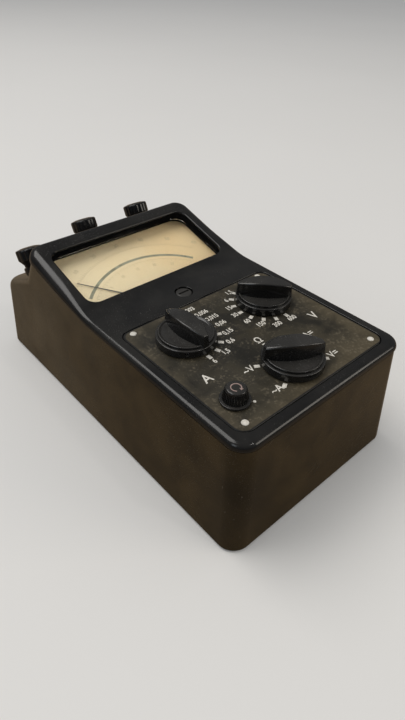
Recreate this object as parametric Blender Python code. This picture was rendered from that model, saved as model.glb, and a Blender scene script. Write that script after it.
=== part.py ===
"""Analog multimeter: a bench instrument in a dark moulded case, built as separate pieces.

Metres, +Z up, +Y from the front of the instrument to its terminals, +X to the right.
The origin is on the table, under the middle of the case.
"""
import math

import bmesh
import bpy
from mathutils import Matrix, Vector

# Fits shared by the whole instrument
GAP = 0.0003
OVERRUN = 0.002

# Case: four walls that lean in towards the rim, a sloped ledge for the terminals at the back
CASE_WIDTH = 0.118
CASE_LENGTH = 0.215
CASE_WALL = 0.0032
CASE_LEAN = 0.0042
CASE_CORNER = 0.0093
FOOT_STAND = 0.001
LEDGE_HEIGHT = 0.057
LEDGE_ANGLE = math.radians(24.8)
LEDGE_WALL = 0.003
SHOULDER_ROUND = 0.006

# Top cover: a flat deck with a rounded rim, and the raised head that holds the dial
RIM_OVERHANG = 0.0002
RIM_CORNER = 0.0088
RIM_ROUND = 0.003
RIM_CHAMFER = 0.0006
SEAT_HEIGHT = 0.0613
SEAT_CLIMB = 0.001
DECK_RISE = 0.0042
BACK_REACH = 0.043
DECK_SHARE = 2 / 3
HEAD_ANGLE = math.radians(15.5)
HEAD_SEAT_CLIMB = 0.0115
HEAD_ROUND = 0.0055
HEAD_VALLEY = 0.006
HEAD_BLEND = 0.03
BACK_LEAN = math.radians(27.3)

# Dial: depths are measured down from the sloped face of the head
WINDOW_MARGIN = 0.009
WINDOW_FRONT = 0.0068
WINDOW_REAR_MARGIN = 0.0067
WINDOW_CORNER = 0.006
GLASS_LAND = 0.0016
GLASS_SINK = 0.0053
GLASS_THICKNESS = 0.0022
BLOCK_SPREAD = 0.0045
BLOCK_FRONT = 0.0035
BLOCK_ROOT = 0.002
POINTER_ROOM = 0.0016
SCALE_THICKNESS = 0.0008
SCALE_FRONT = 0.001
SCALE_SIDE = 0.0004

# Bottom plate, feet and the screws that hold the case together
PLATE_THICKNESS = 0.0026
REBATE_WALL = 0.0016
FOOT_RADIUS = 0.006
FOOT_SEAT = 0.001
FOOT_STEM_RADIUS = 0.0022
FOOT_SIDE_INSET = 0.023
FOOT_END_INSET = 0.0175
POST_RADIUS = 0.0035
POST_INSET = 0.0085
FRONT_POST = 0.0095
REAR_POST_SETBACK = 0.008
SCREW_RADIUS = 0.0015
SCREW_HEAD_RADIUS = 0.0028
SCREW_HEAD_HEIGHT = 0.0014
SCREW_LENGTH = 0.011

# Panel plate with the printed ranges
PANEL_MARGIN = 0.0064
PANEL_FRONT = 0.0065
PANEL_SETBACK = 0.0221
PANEL_THICKNESS = 0.001
PANEL_SINK = 0.0002
PANEL_FRONT_CORNER = 0.0065
PANEL_REAR_CORNER = 0.0045

# Selector knobs: a round skirt in two tiers, dished on top, under a bar grip
RANGE_INSET = 0.0223
RANGE_SETBACK = 0.0229
FUNCTION_REACH = 0.0239
SKIRT_RADIUS = 0.0146
SKIRT_HEIGHT = 0.0038
SKIRT_EDGE = 0.0006
TIER_RADIUS = 0.0134
TIER_RISE = 0.0013
TIER_LIP = 0.001
DISH_DEPTH = 0.0007
KNOB_LIFT = 0.0006
GRIP_LENGTH = 0.0288
GRIP_WIDTH = 0.0102
GRIP_END = 0.0036
GRIP_HEIGHT = 0.0125
GRIP_CROWN = 0.0026
GRIP_EDGE = 0.0008
GRIP_DRAFT = 0.0004
KNOB_BORE_DEPTH = 0.009
KNOB_HOLLOW_RADIUS = 0.0105
KNOB_HOLLOW_DEPTH = 0.001
GRUB_RADIUS = 0.0011
GRUB_RISE = 0.0023
GRUB_ANGLE = math.radians(-38)
CURRENT_REST = math.radians(270)
VOLTAGE_REST = math.radians(135)
FUNCTION_REST = math.radians(330)
CURRENT_FIRST = math.radians(270)
VOLTAGE_FIRST = math.radians(112.5)
FUNCTION_FIRST = math.radians(330)
RANGE_STEP = math.radians(22.5)
RANGE_COUNT = 8
FUNCTION_STEP = math.radians(60)
FUNCTION_COUNT = 5

# Rotary switches under the deck
SHAFT_RADIUS = 0.003
BUSH_RADIUS = 0.0045
BUSH_RISE = 0.0012
FRAME_RADIUS = 0.0152
FRAME_THICKNESS = 0.0015
FRAME_POST_RADIUS = 0.0012
FRAME_POST_SIDE = 0.0135
WAFER_DROP = 0.0125
WAFER_RADIUS = 0.0155
WAFER_THICKNESS = 0.0016
WAFER_BORE = 0.0052
CONTACT_RADIUS = 0.0009
CONTACT_RING = 0.0102
CONTACT_HEIGHT = 0.0006
ROTOR_HUB_RADIUS = 0.0045
ROTOR_HUB_HEIGHT = 0.003
ROTOR_WIDTH = 0.0034
ROTOR_THICKNESS = 0.0008
SHAFT_TAIL = 0.002

# Zero-ohm control
OHMS_INSET = 0.0116
OHMS_REACH = 0.0228
OHMS_FLANGE_RADIUS = 0.0069
OHMS_FLANGE_HEIGHT = 0.0009
OHMS_FOOT_RADIUS = 0.0056
OHMS_TOP_RADIUS = 0.0047
OHMS_HEIGHT = 0.0068
OHMS_KNURLS = 18
OHMS_KNURL_DEPTH = 0.0003
OHMS_SHAFT_RADIUS = 0.002
OHMS_BORE_DEPTH = 0.005
POT_RADIUS = 0.0085
POT_HEIGHT = 0.009
POT_COLLAR_RADIUS = 0.0034

# Zero adjuster of the pointer
ADJUSTER_SETBACK = 0.0116
ADJUSTER_RADIUS = 0.0046
ADJUSTER_SINK = 0.0004
ADJUSTER_HEAD = 0.0014
ADJUSTER_STEM = 0.002
ADJUSTER_SLOT = 0.0009
ADJUSTER_SLOT_DEPTH = 0.0007
ADJUSTER_SLOT_LENGTH = 0.0062
ECCENTRIC = 0.0015
ECCENTRIC_PIN = 0.0006
ECCENTRIC_DEPTH = 0.0043

# Movement: radii about its axis, depths below the sloped face of the head
PIVOT_SETBACK = 0.0105
LEVER_DEPTH = 0.003
LEVER_THICKNESS = 0.0007
LEVER_RADIUS = 0.0031
LEVER_FORK_LENGTH = 0.0058
LEVER_FORK_WIDTH = 0.0048
LEVER_SLOT = 0.0023
LEVER_TAB_WIDTH = 0.0022
LEVER_TAB_THICKNESS = 0.0007
JEWEL_RADIUS = 0.0016
JEWEL_RISE = 0.0019
BRIDGE_DEPTH = 0.0042
BRIDGE_THICKNESS = 0.0012
BRIDGE_SPAN = 0.0125
BRIDGE_WIDTH = 0.0044
BRIDGE_LEG = 0.0018
SPRING_DEPTH = 0.0062
SPRING_HEIGHT = 0.0005
SPRING_STRIP = 0.0002
SPRING_INNER = 0.0014
SPRING_OUTER = 0.0045
SPRING_TURNS = 3
POINTER_DEPTH = 0.0087
POINTER_THICKNESS = 0.0003
POINTER_WIDTH = 0.0006
POINTER_SIDE_ROOM = 0.006
POINTER_REAR_ROOM = 0.0032
POINTER_HUB = 0.0022
POINTER_TAIL = 0.0088
POINTER_TAIL_WIDTH = 0.0012
POINTER_REST = math.radians(45)
COIL_DEPTH = 0.0106
COIL_HEIGHT = 0.0164
COIL_OUTER = 0.0082
COIL_INNER = 0.0067
COIL_WIDTH = 0.0026
COIL_BAR = 0.0016
PIVOT_RADIUS = 0.0006
POLE_DEPTH = 0.012
POLE_HEIGHT = 0.0135
POLE_INNER = 0.0087
POLE_OUTER = 0.0127
POLE_SPAN = math.radians(124)
MAGNET_THICKNESS = 0.0055
MAGNET_OPENING = math.radians(80)
CORE_RADIUS = 0.006
CORE_STRIP = 0.0028
CORE_STRIP_HEIGHT = 0.002
BRACKET_THICKNESS = 0.002
BRACKET_WIDTH = 0.026
BRACKET_SPAN = 0.054
BRACKET_BORE = 0.0094
PILLAR_SIDE = 0.0235
PILLAR_RADIUS = 0.0026

# Terminals on the ledge
TERMINAL_SETBACK = 0.013
TERMINAL_INSET = 0.0145
COLLAR_RADIUS = 0.0066
COLLAR_HEIGHT = 0.0032
COLLAR_STEM_RADIUS = 0.004
STUD_RADIUS = 0.0025
STUD_TOP = 0.013
NUT_RADIUS = 0.005
NUT_HEIGHT = 0.0028
CAP_HEIGHT = 0.0112
CAP_RADIUS = 0.008
CAP_HEAD_HEIGHT = 0.0072
CAP_NECK_RADIUS = 0.0056
CAP_NECK_HEIGHT = 0.0012
CAP_EDGE = 0.0009
CAP_FLUTES = 12
CAP_FLUTE_DEPTH = 0.0003
CAP_BORE_RADIUS = 0.0043
CAP_BORE_DEPTH = 0.0078
CAP_CROWN = 0.0004
CAP_TRAVEL = 0.0064
INSERT_HEIGHT = 0.0066

# Battery compartment in the bottom plate
CELL_RADIUS = 0.013
CELL_LENGTH = 0.05
CELL_TIP_RADIUS = 0.003
CELL_TIP_LENGTH = 0.0015
CELL_SETBACK = 0.05
CRADLE_WALL = 0.002
CRADLE_ROOM = 0.006
DOOR_THICKNESS = 0.0022
TONGUE_WIDTH = 0.012
TONGUE_REACH = 0.004
TONGUE_THICKNESS = 0.0014
CONTACT_STRIP = 0.0005
CONTACT_STRIP_WIDTH = 0.01

# Resistor board on the bottom plate
BOARD_MARGIN = 0.017
BOARD_LENGTH = 0.066
BOARD_REACH = 0.016
BOARD_LIFT = 0.009
BOARD_THICKNESS = 0.0016
BOARD_BOSS_RADIUS = 0.003
BOARD_BOSS_INSET = 0.006
SOLDER_DEPTH = 0.0004
RESISTOR_RADIUS = 0.0026
RESISTOR_LENGTH = 0.013
RESISTOR_PITCH = 0.0078
RESISTOR_ROWS = 6
RESISTOR_SIDE = 0.022
SHUNT_WIRE = 0.0012
SHUNT_WIDTH = 0.016
SHUNT_HEIGHT = 0.009
SHUNT_PITCH = 0.005
SHUNT_COUNT = 3
RECTIFIER_PLATE = 0.011
RECTIFIER_THICKNESS = 0.001
RECTIFIER_PITCH = 0.0024
RECTIFIER_COUNT = 4
RECTIFIER_BOLT = 0.0018

# Sizes worked out from the ones above
RIM_WIDTH = CASE_WIDTH - 2 * (CASE_LEAN - RIM_OVERHANG)
RIM_FRONT = -CASE_LENGTH / 2 + CASE_LEAN - RIM_OVERHANG
COVER_LENGTH = CASE_LENGTH - (CASE_LEAN - RIM_OVERHANG) - BACK_REACH
HEAD_START = COVER_LENGTH * DECK_SHARE
PANEL_HEIGHT = SEAT_HEIGHT + DECK_RISE
HEAD_LENGTH = COVER_LENGTH - HEAD_START
WINDOW_WIDTH = RIM_WIDTH - 2 * WINDOW_MARGIN
WINDOW_DEPTH = HEAD_LENGTH - WINDOW_FRONT - WINDOW_REAR_MARGIN
BLOCK_WIDTH = WINDOW_WIDTH + 2 * BLOCK_SPREAD
BLOCK_BACK = HEAD_LENGTH - BLOCK_FRONT
FOOT_SIDE = CASE_WIDTH / 2 - FOOT_SIDE_INSET
FOOT_REACH = CASE_LENGTH / 2 - FOOT_END_INSET
POST_SIDE = RIM_WIDTH / 2 - POST_INSET
REAR_POST = HEAD_START - REAR_POST_SETBACK
PANEL_WIDTH = RIM_WIDTH - 2 * PANEL_MARGIN
PANEL_LENGTH = HEAD_START - PANEL_FRONT - PANEL_SETBACK
RANGE_SIDE = PANEL_WIDTH / 2 - RANGE_INSET
RANGE_REACH = PANEL_FRONT + PANEL_LENGTH - RANGE_SETBACK
OHMS_SIDE = PANEL_WIDTH / 2 - OHMS_INSET
POINTER_TO_SIDE = (WINDOW_WIDTH / 2 - POINTER_SIDE_ROOM) / math.sin(POINTER_REST)
POINTER_TO_REAR = PIVOT_SETBACK + WINDOW_FRONT + WINDOW_DEPTH - POINTER_REAR_ROOM
POINTER_REACH = min(POINTER_TO_SIDE, POINTER_TO_REAR)
TERMINAL_PITCH = RIM_WIDTH / 2 - TERMINAL_INSET
CELL_REACH = CASE_LENGTH / 2 - CELL_SETBACK
BOARD_WIDTH = CASE_WIDTH - 2 * BOARD_MARGIN
HEAD_Y = RIM_FRONT + HEAD_START
HEAD_TOP_Y = HEAD_Y + HEAD_LENGTH
HEAD_TOP_Z = PANEL_HEIGHT + HEAD_LENGTH * math.tan(HEAD_ANGLE)
PLATE_TOP = FOOT_STAND + PLATE_THICKNESS
GLASS_BOTTOM = GLASS_SINK + GAP + GLASS_THICKNESS
BLOCK_DEPTH = GLASS_BOTTOM + POINTER_ROOM
SCALE_TOP = BLOCK_DEPTH + GAP
CAP_DOWN = GAP + COLLAR_HEIGHT + GAP
LEDGE_NORMAL_WALL = CASE_WALL * math.sin(LEDGE_ANGLE) + LEDGE_WALL * math.cos(LEDGE_ANGLE)
TOP_Z = HEAD_TOP_Z + OVERRUN
UNDERSIDE_DROP = SEAT_CLIMB * math.sin(HEAD_ANGLE)

# Colours of the pieces: base colour, roughness, metallic
BAKELITE = ((0.016, 0.014, 0.012), 0.22, 0.0)
CASE_BROWN = ((0.035, 0.027, 0.018), 0.2, 0.0)
PANEL_OLIVE = ((0.036, 0.033, 0.024), 0.5, 0.0)
IVORY = ((0.74, 0.63, 0.4), 0.6, 0.0)
GLASS = ((0.8, 0.85, 0.84), 0.04, 0.0)
STEEL = ((0.45, 0.45, 0.46), 0.35, 1.0)
BRASS = ((0.62, 0.45, 0.18), 0.35, 1.0)
COPPER = ((0.65, 0.28, 0.14), 0.35, 1.0)
IRON = ((0.17, 0.17, 0.18), 0.5, 1.0)
ALUMINIUM = ((0.62, 0.62, 0.63), 0.4, 1.0)
RUBBER = ((0.02, 0.02, 0.02), 0.85, 0.0)
PHENOLIC = ((0.28, 0.15, 0.06), 0.55, 0.0)
CELL_BLUE = ((0.05, 0.1, 0.2), 0.4, 0.0)
SPRING_BRONZE = ((0.55, 0.36, 0.2), 0.3, 1.0)

# How finely round shapes are cut
CORNER_STEPS = 6
ROUND_STEPS = 6
FINE_SIDES = 32
SIDES = 20
COARSE_SIDES = 12
QUARTER_TURN = math.radians(90)
SMOOTH_ANGLE = math.radians(35)
MERGE_SHARE = 0.01
SIDE_TURN = Matrix(((0, 0, 1, 0), (1, 0, 0, 0), (0, 1, 0, 0), (0, 0, 0, 1)))


def clear_scene():
    for item in list(bpy.data.objects):
        bpy.data.objects.remove(item, do_unlink=True)


def piece_material(name, finish):
    colour, roughness, metallic = finish
    material = bpy.data.materials.new(name + "_finish")
    material.use_nodes = True
    shader = material.node_tree.nodes["Principled BSDF"]
    shader.inputs["Base Color"].default_value = (*colour, 1.0)
    shader.inputs["Roughness"].default_value = roughness
    shader.inputs["Metallic"].default_value = metallic
    return material


def place(name, shape, frame, finish=None):
    """Turn a bmesh into an object; the frame is its place, and the joint's axis if it moves."""
    bmesh.ops.recalc_face_normals(shape, faces=shape.faces)
    mesh = bpy.data.meshes.new(name)
    shape.to_mesh(mesh)
    shape.free()
    mesh.shade_smooth()
    mesh.set_sharp_from_angle(angle=SMOOTH_ANGLE)
    item = bpy.data.objects.new(name, mesh)
    bpy.context.collection.objects.link(item)
    item.matrix_world = frame
    if finish:
        mesh.materials.append(piece_material(name, finish))
    else:
        item.hide_render = True
        item.display_type = "WIRE"
    return item


def carve(target, shape, frame, operation="DIFFERENCE"):
    """Cut a shape out of a piece, or join it on, with a live Boolean."""
    tool = place(f"{target.name}_tool_{len(target.modifiers)}", shape, frame)
    boolean = target.modifiers.new(tool.name, "BOOLEAN")
    boolean.operation = operation
    boolean.solver = "EXACT"
    boolean.object = tool


def join_on(target, shape, frame):
    carve(target, shape, frame, "UNION")


def gather(shapes):
    """Put several separate shapes into one."""
    whole = bmesh.new()
    for shape in shapes:
        mesh = bpy.data.meshes.new("shape")
        shape.to_mesh(mesh)
        shape.free()
        whole.from_mesh(mesh)
        bpy.data.meshes.remove(mesh)
    return whole


def moved(shape, matrix):
    bmesh.ops.transform(shape, matrix=matrix, verts=shape.verts)
    return shape


def shift(x, y, z):
    return Matrix.Translation((x, y, z))


def spin(angle):
    return Matrix.Rotation(angle, 4, "Z")


def turned(profile, sides, closed=False):
    """Spin a profile of (radius, height) about Z; a closed profile makes a ring."""
    shape = bmesh.new()
    points = [shape.verts.new((radius, 0, height)) for radius, height in profile]
    edges = [shape.edges.new(pair) for pair in zip(points, points[1:])]
    if closed:
        edges.append(shape.edges.new((points[-1], points[0])))
    bmesh.ops.spin(
        shape, geom=points + edges, axis=(0, 0, 1), cent=(0, 0, 0),
        steps=sides, angle=math.tau, use_merge=True)
    nearest = min(radius for radius, _ in profile if radius > 0)
    bmesh.ops.remove_doubles(shape, verts=shape.verts, dist=nearest * MERGE_SHARE / sides)
    return shape


def rod(radius, low, high, sides=SIDES):
    return turned(((0, low), (radius, low), (radius, high), (0, high)), sides)


def ring(inner, outer, low, high, sides=SIDES):
    return turned(((inner, low), (outer, low), (outer, high), (inner, high)), sides, closed=True)


def prism(outline, low, high):
    """Raise a flat outline from one height to another."""
    shape = bmesh.new()
    face = shape.faces.new([shape.verts.new((x, y, low)) for x, y in outline])
    raised = bmesh.ops.extrude_face_region(shape, geom=[face])
    tops = [item for item in raised["geom"] if isinstance(item, bmesh.types.BMVert)]
    bmesh.ops.translate(shape, verts=tops, vec=(0, 0, high - low))
    return shape


def block(x, y, z):
    """A plain box between three pairs of limits."""
    return prism(((x[0], y[0]), (x[1], y[0]), (x[1], y[1]), (x[0], y[1])), *z)


def side_profile(points, half_width):
    """An outline of (y, z), pulled out along X."""
    return moved(prism(points, -half_width, half_width), SIDE_TURN)


def rounded_corners(half_width, front, rear, front_round, rear_round):
    """The right half of a rounded rectangle as (x, y, outward x, outward y), front to rear."""
    points = []
    for start, radius, y in (
        (-QUARTER_TURN, front_round, front + front_round), (0, rear_round, rear - rear_round)):
        for step in range(CORNER_STEPS + 1):
            angle = start + QUARTER_TURN * step / CORNER_STEPS
            x_way, y_way = math.cos(angle), math.sin(angle)
            points.append((half_width - radius + radius * x_way, y + radius * y_way, x_way, y_way))
    return points


def mirrored(right_half):
    """Close the right half of an outline with its mirror image."""
    return right_half + [(-point[0], *point[1:]) for point in reversed(right_half)]


def rounded_rectangle(width, front, rear, front_round, rear_round):
    half = rounded_corners(width / 2, front, rear, front_round, rear_round)
    return mirrored([(x, y) for x, y, _, _ in half])


def skin(rings):
    """Join rings of points from the lowest to the highest, and close both ends in strips."""
    shape = bmesh.new()
    loops = [[shape.verts.new(point) for point in points] for points in rings]
    count = len(loops[0])
    for low, high in zip(loops, loops[1:]):
        for i in range(count):
            j = (i + 1) % count
            shape.faces.new((low[i], low[j], high[j], high[i]))
    for loop, way in ((loops[0], 1), (loops[-1], -1)):
        for i in range(count // 2 - 1):
            shape.faces.new((loop[i], loop[count - 1 - i], loop[count - 2 - i], loop[i + 1])[::way])
    return shape


HEAD_FRAME = shift(0, HEAD_Y, PANEL_HEIGHT) @ Matrix.Rotation(HEAD_ANGLE, 4, "X")
MOVEMENT_FRAME = HEAD_FRAME @ shift(0, -PIVOT_SETBACK, 0)
PANEL_TOP = PANEL_HEIGHT - PANEL_SINK


def head_back(height):
    """How far back the leaning rear face of the head lies at a height."""
    return HEAD_TOP_Y + (HEAD_TOP_Z - height) * math.tan(BACK_LEAN)


def top_height(y):
    """Height of the deck and the sloped face of the head, with a soft valley between them."""
    along = y - HEAD_Y
    if along <= -HEAD_VALLEY:
        return PANEL_HEIGHT
    if along >= HEAD_VALLEY:
        return PANEL_HEIGHT + along * math.tan(HEAD_ANGLE)
    return PANEL_HEIGHT + math.tan(HEAD_ANGLE) * (along + HEAD_VALLEY) ** 2 / (4 * HEAD_VALLEY)


def seat_height(y):
    """Height of the joint between case and cover."""
    if y < HEAD_Y:
        return SEAT_HEIGHT + SEAT_CLIMB * (y - RIM_FRONT) / HEAD_START
    return SEAT_HEIGHT + SEAT_CLIMB + HEAD_SEAT_CLIMB * (y - HEAD_Y) / HEAD_LENGTH


def edge_round(y):
    """Radius of the cover's top edge: small along the deck, larger round the head."""
    share = min(max((y - HEAD_Y) / HEAD_BLEND, 0), 1)
    return RIM_ROUND + (HEAD_ROUND - RIM_ROUND) * share


def deck_underside(y):
    return seat_height(y) + GAP


def case_back():
    """The rear of the case as (y, z): wall, rounded shoulder, ledge and the back of the head."""
    wall_slope = CASE_LEAN / SEAT_HEIGHT
    ledge_slope = math.tan(LEDGE_ANGLE)
    ledge_y = head_back(LEDGE_HEIGHT)
    meet_z = (LEDGE_HEIGHT - ledge_slope * (CASE_LENGTH / 2 - ledge_y)) / (1 - ledge_slope * wall_slope)
    meet_y = CASE_LENGTH / 2 - wall_slope * meet_z
    turn = QUARTER_TURN - LEDGE_ANGLE - math.atan(wall_slope)
    tangent = SHOULDER_ROUND * math.tan(turn / 2)
    start = Vector((meet_y, meet_z)) - tangent * Vector((-wall_slope, 1)).normalized()
    wall_way = math.atan(wall_slope)
    centre = start - SHOULDER_ROUND * Vector((math.cos(wall_way), math.sin(wall_way)))
    points = [(CASE_LENGTH / 2 - wall_slope * FOOT_STAND, FOOT_STAND)]
    for step in range(ROUND_STEPS + 1):
        angle = wall_way + turn * step / ROUND_STEPS
        points.append(
            (centre.x + SHOULDER_ROUND * math.cos(angle), centre.y + SHOULDER_ROUND * math.sin(angle)))
    points.append((ledge_y, LEDGE_HEIGHT))
    points.append((head_back(TOP_Z), TOP_Z))
    return points


def case_ring(y_back, height, inset, lift=0):
    """One level of the case: a rounded rectangle that leans in with height."""
    lean = CASE_LEAN * height / SEAT_HEIGHT
    half_width = CASE_WIDTH / 2 - lean - inset
    front = -CASE_LENGTH / 2 + lean + inset
    corner = CASE_CORNER - inset
    outline = rounded_rectangle(2 * half_width, front, y_back - inset, corner, corner)
    return [(x, y, height - lift) for x, y in outline]


def seat_cutter():
    """Everything above the joint between case and cover."""
    reach = CASE_LENGTH / 2 + OVERRUN
    slope_end = seat_height(reach)
    high = max(slope_end, TOP_Z) + OVERRUN
    outline = (
        (-reach, seat_height(-reach)), (HEAD_Y, seat_height(HEAD_Y)), (reach, slope_end),
        (reach, high), (-reach, high))
    return side_profile(outline, CASE_WIDTH / 2 + OVERRUN)


def terminal_frame(x):
    y = head_back(LEDGE_HEIGHT) + TERMINAL_SETBACK
    z = LEDGE_HEIGHT - TERMINAL_SETBACK * math.tan(LEDGE_ANGLE)
    return shift(x, y, z) @ Matrix.Rotation(-LEDGE_ANGLE, 4, "X")


TERMINALS = (("left", -TERMINAL_PITCH, 0), ("middle", 0, CAP_TRAVEL), ("right", TERMINAL_PITCH, CAP_TRAVEL))


def make_case():
    back = case_back()
    case = place("case_body", skin([case_ring(y, z, 0) for y, z in back]), Matrix(), CASE_BROWN)
    inner = [case_ring(y, z, CASE_WALL, LEDGE_WALL) for y, z in back]
    inner.insert(0, [(x, y, -OVERRUN - LEDGE_WALL) for x, y, _ in inner[0]])
    carve(case, skin(inner), Matrix())
    carve(case, seat_cutter(), Matrix())
    rebate = case_ring(CASE_LENGTH / 2, 0, REBATE_WALL)
    levels = (-OVERRUN, PLATE_TOP + GAP)
    carve(case, skin([[(x, y, z) for x, y, _ in rebate] for z in levels]), Matrix())
    holes = [
        moved(
            rod(COLLAR_STEM_RADIUS + GAP, -LEDGE_NORMAL_WALL - OVERRUN, OVERRUN, COARSE_SIDES),
            terminal_frame(x))
        for _, x, _ in TERMINALS]
    carve(case, gather(holes), Matrix())


def cover_ring(inset_of, height_of, back_shift):
    """One ring round the cover; the inset and height may change from front to back."""
    stops = (HEAD_Y - HEAD_VALLEY, HEAD_Y, HEAD_Y + HEAD_VALLEY, HEAD_Y + HEAD_BLEND / 2, HEAD_Y + HEAD_BLEND)
    rear = head_back(HEAD_TOP_Z - HEAD_ROUND)
    half = rounded_corners(RIM_WIDTH / 2, RIM_FRONT, rear, RIM_CORNER, RIM_CORNER)
    turn = CORNER_STEPS + 1
    half = half[:turn] + [(RIM_WIDTH / 2, y, 1, 0) for y in stops] + half[turn:]
    points = []
    for x, y, x_way, y_way in half:
        inset = inset_of(y)
        moved_y = y - y_way * inset + max(y_way, 0) * back_shift
        points.append((x - x_way * inset, moved_y, height_of(y, moved_y)))
    return mirrored(points)


def cover_skin():
    drop = (top_height(HEAD_TOP_Y) - HEAD_ROUND - seat_height(HEAD_TOP_Y)) * math.tan(BACK_LEAN)
    rings = [
        cover_ring(lambda y: RIM_CHAMFER, lambda y, moved_y: seat_height(moved_y) + GAP, drop),
        cover_ring(lambda y: 0, lambda y, moved_y: seat_height(moved_y) + GAP + RIM_CHAMFER, drop)]
    for step in range(ROUND_STEPS + 1):
        angle = QUARTER_TURN * step / ROUND_STEPS
        rings.append(cover_ring(
            lambda y: edge_round(y) * (1 - math.cos(angle)),
            lambda y, moved_y: top_height(moved_y) - edge_round(y) * (1 - math.sin(angle)), 0))
    return skin(rings)


def window_outline(spread):
    rear = WINDOW_FRONT + WINDOW_DEPTH
    corner = WINDOW_CORNER + spread
    return rounded_rectangle(WINDOW_WIDTH + 2 * spread, WINDOW_FRONT - spread, rear + spread, corner, corner)


CORNERS = (("front_left", -1, -1), ("rear_left", -1, 1), ("front_right", 1, -1), ("rear_right", 1, 1))


def post_places():
    """Centres of the cover's screw posts, in the order of the corners."""
    return [
        (side * POST_SIDE, RIM_FRONT + (FRONT_POST if way < 0 else REAR_POST)) for _, side, way in CORNERS]


def selector_places():
    """Name, centre, rest angle and contact angles of each rotary switch."""
    ranges = [RANGE_STEP * number for number in range(RANGE_COUNT)]
    functions = [FUNCTION_FIRST + FUNCTION_STEP * number for number in range(FUNCTION_COUNT)]
    rear = RIM_FRONT + RANGE_REACH
    return (
        ("current", -RANGE_SIDE, rear, CURRENT_REST, [CURRENT_FIRST + turn for turn in ranges]),
        ("voltage", RANGE_SIDE, rear, VOLTAGE_REST, [VOLTAGE_FIRST + turn for turn in ranges]),
        ("function", 0, RIM_FRONT + FUNCTION_REACH, FUNCTION_REST, functions))


def panel_outline(spread):
    return rounded_rectangle(
        PANEL_WIDTH + 2 * spread, RIM_FRONT + PANEL_FRONT - spread,
        RIM_FRONT + PANEL_FRONT + PANEL_LENGTH + spread,
        PANEL_FRONT_CORNER + spread, PANEL_REAR_CORNER + spread)


def make_cover():
    cover = place("top_cover", cover_skin(), Matrix(), BAKELITE)
    base = rounded_rectangle(BLOCK_WIDTH, BLOCK_FRONT, BLOCK_BACK, WINDOW_CORNER, WINDOW_CORNER)
    join_on(cover, prism(base, -BLOCK_DEPTH, -BLOCK_ROOT), HEAD_FRAME)
    posts = []
    for x, y in post_places():
        posts.append(
            moved(
                rod(POST_RADIUS, PLATE_TOP + GAP, deck_underside(y) + BLOCK_ROOT, COARSE_SIDES),
                shift(x, y, 0)))
    join_on(cover, gather(posts), Matrix())
    carve(cover, prism(window_outline(0), -BLOCK_DEPTH - OVERRUN, OVERRUN), HEAD_FRAME)
    carve(cover, prism(window_outline(GLASS_LAND), -BLOCK_DEPTH - OVERRUN, -GLASS_SINK), HEAD_FRAME)
    side = WINDOW_WIDTH / 2 + GLASS_LAND
    way_in = block((-side, side), (0, WINDOW_FRONT + WINDOW_CORNER), (-BLOCK_DEPTH - OVERRUN, -GLASS_BOTTOM))
    carve(cover, way_in, HEAD_FRAME)
    floor = PANEL_TOP - PANEL_THICKNESS - GAP
    carve(cover, prism(panel_outline(GAP), floor, PANEL_HEIGHT + OVERRUN), Matrix())
    holes = []
    low = SEAT_HEIGHT - OVERRUN
    for _, x, y, _, _ in selector_places():
        holes.append(moved(rod(BUSH_RADIUS + GAP, low, PANEL_HEIGHT), shift(x, y, 0)))
    holes.append(
        moved(
            rod(POT_COLLAR_RADIUS + GAP, low, PANEL_HEIGHT, COARSE_SIDES),
            shift(-OHMS_SIDE, RIM_FRONT + OHMS_REACH, 0)))
    head_floor = PANEL_HEIGHT - ADJUSTER_SINK - ADJUSTER_HEAD - GAP
    high = PANEL_HEIGHT + OVERRUN
    seat = (
        (0, low), (ADJUSTER_STEM + GAP, low), (ADJUSTER_STEM + GAP, head_floor),
        (ADJUSTER_RADIUS + GAP, head_floor), (ADJUSTER_RADIUS + GAP, high), (0, high))
    holes.append(moved(turned(seat, SIDES), shift(0, HEAD_Y - ADJUSTER_SETBACK, 0)))
    for x, y in post_places():
        top = FOOT_STAND + SCREW_LENGTH + SCREW_HEAD_HEIGHT
        holes.append(moved(rod(SCREW_RADIUS + GAP, 0, top, COARSE_SIDES), shift(x, y, 0)))
    carve(cover, gather(holes), Matrix())


def make_panel():
    low = PANEL_TOP - PANEL_THICKNESS
    panel = place("panel_plate", prism(panel_outline(0), low, PANEL_TOP), Matrix(), PANEL_OLIVE)
    holes = [
        moved(rod(BUSH_RADIUS + GAP, low - OVERRUN, PANEL_HEIGHT + OVERRUN), shift(x, y, 0))
        for _, x, y, _, _ in selector_places()]
    ohms_hole = rod(POT_COLLAR_RADIUS + GAP, low - OVERRUN, PANEL_HEIGHT + OVERRUN, COARSE_SIDES)
    holes.append(moved(ohms_hole, shift(-OHMS_SIDE, RIM_FRONT + OHMS_REACH, 0)))
    carve(panel, gather(holes), Matrix())


def make_dial():
    top = -GLASS_SINK - GAP
    place(
        "window_glass", prism(window_outline(GLASS_LAND - GAP), top - GLASS_THICKNESS, top), HEAD_FRAME,
        GLASS)
    side = BLOCK_WIDTH / 2 - SCALE_SIDE
    scale = block((-side, side), (SCALE_FRONT, BLOCK_BACK), (-SCALE_TOP - SCALE_THICKNESS, -SCALE_TOP))
    place("scale_plate", scale, HEAD_FRAME, IVORY)


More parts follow.
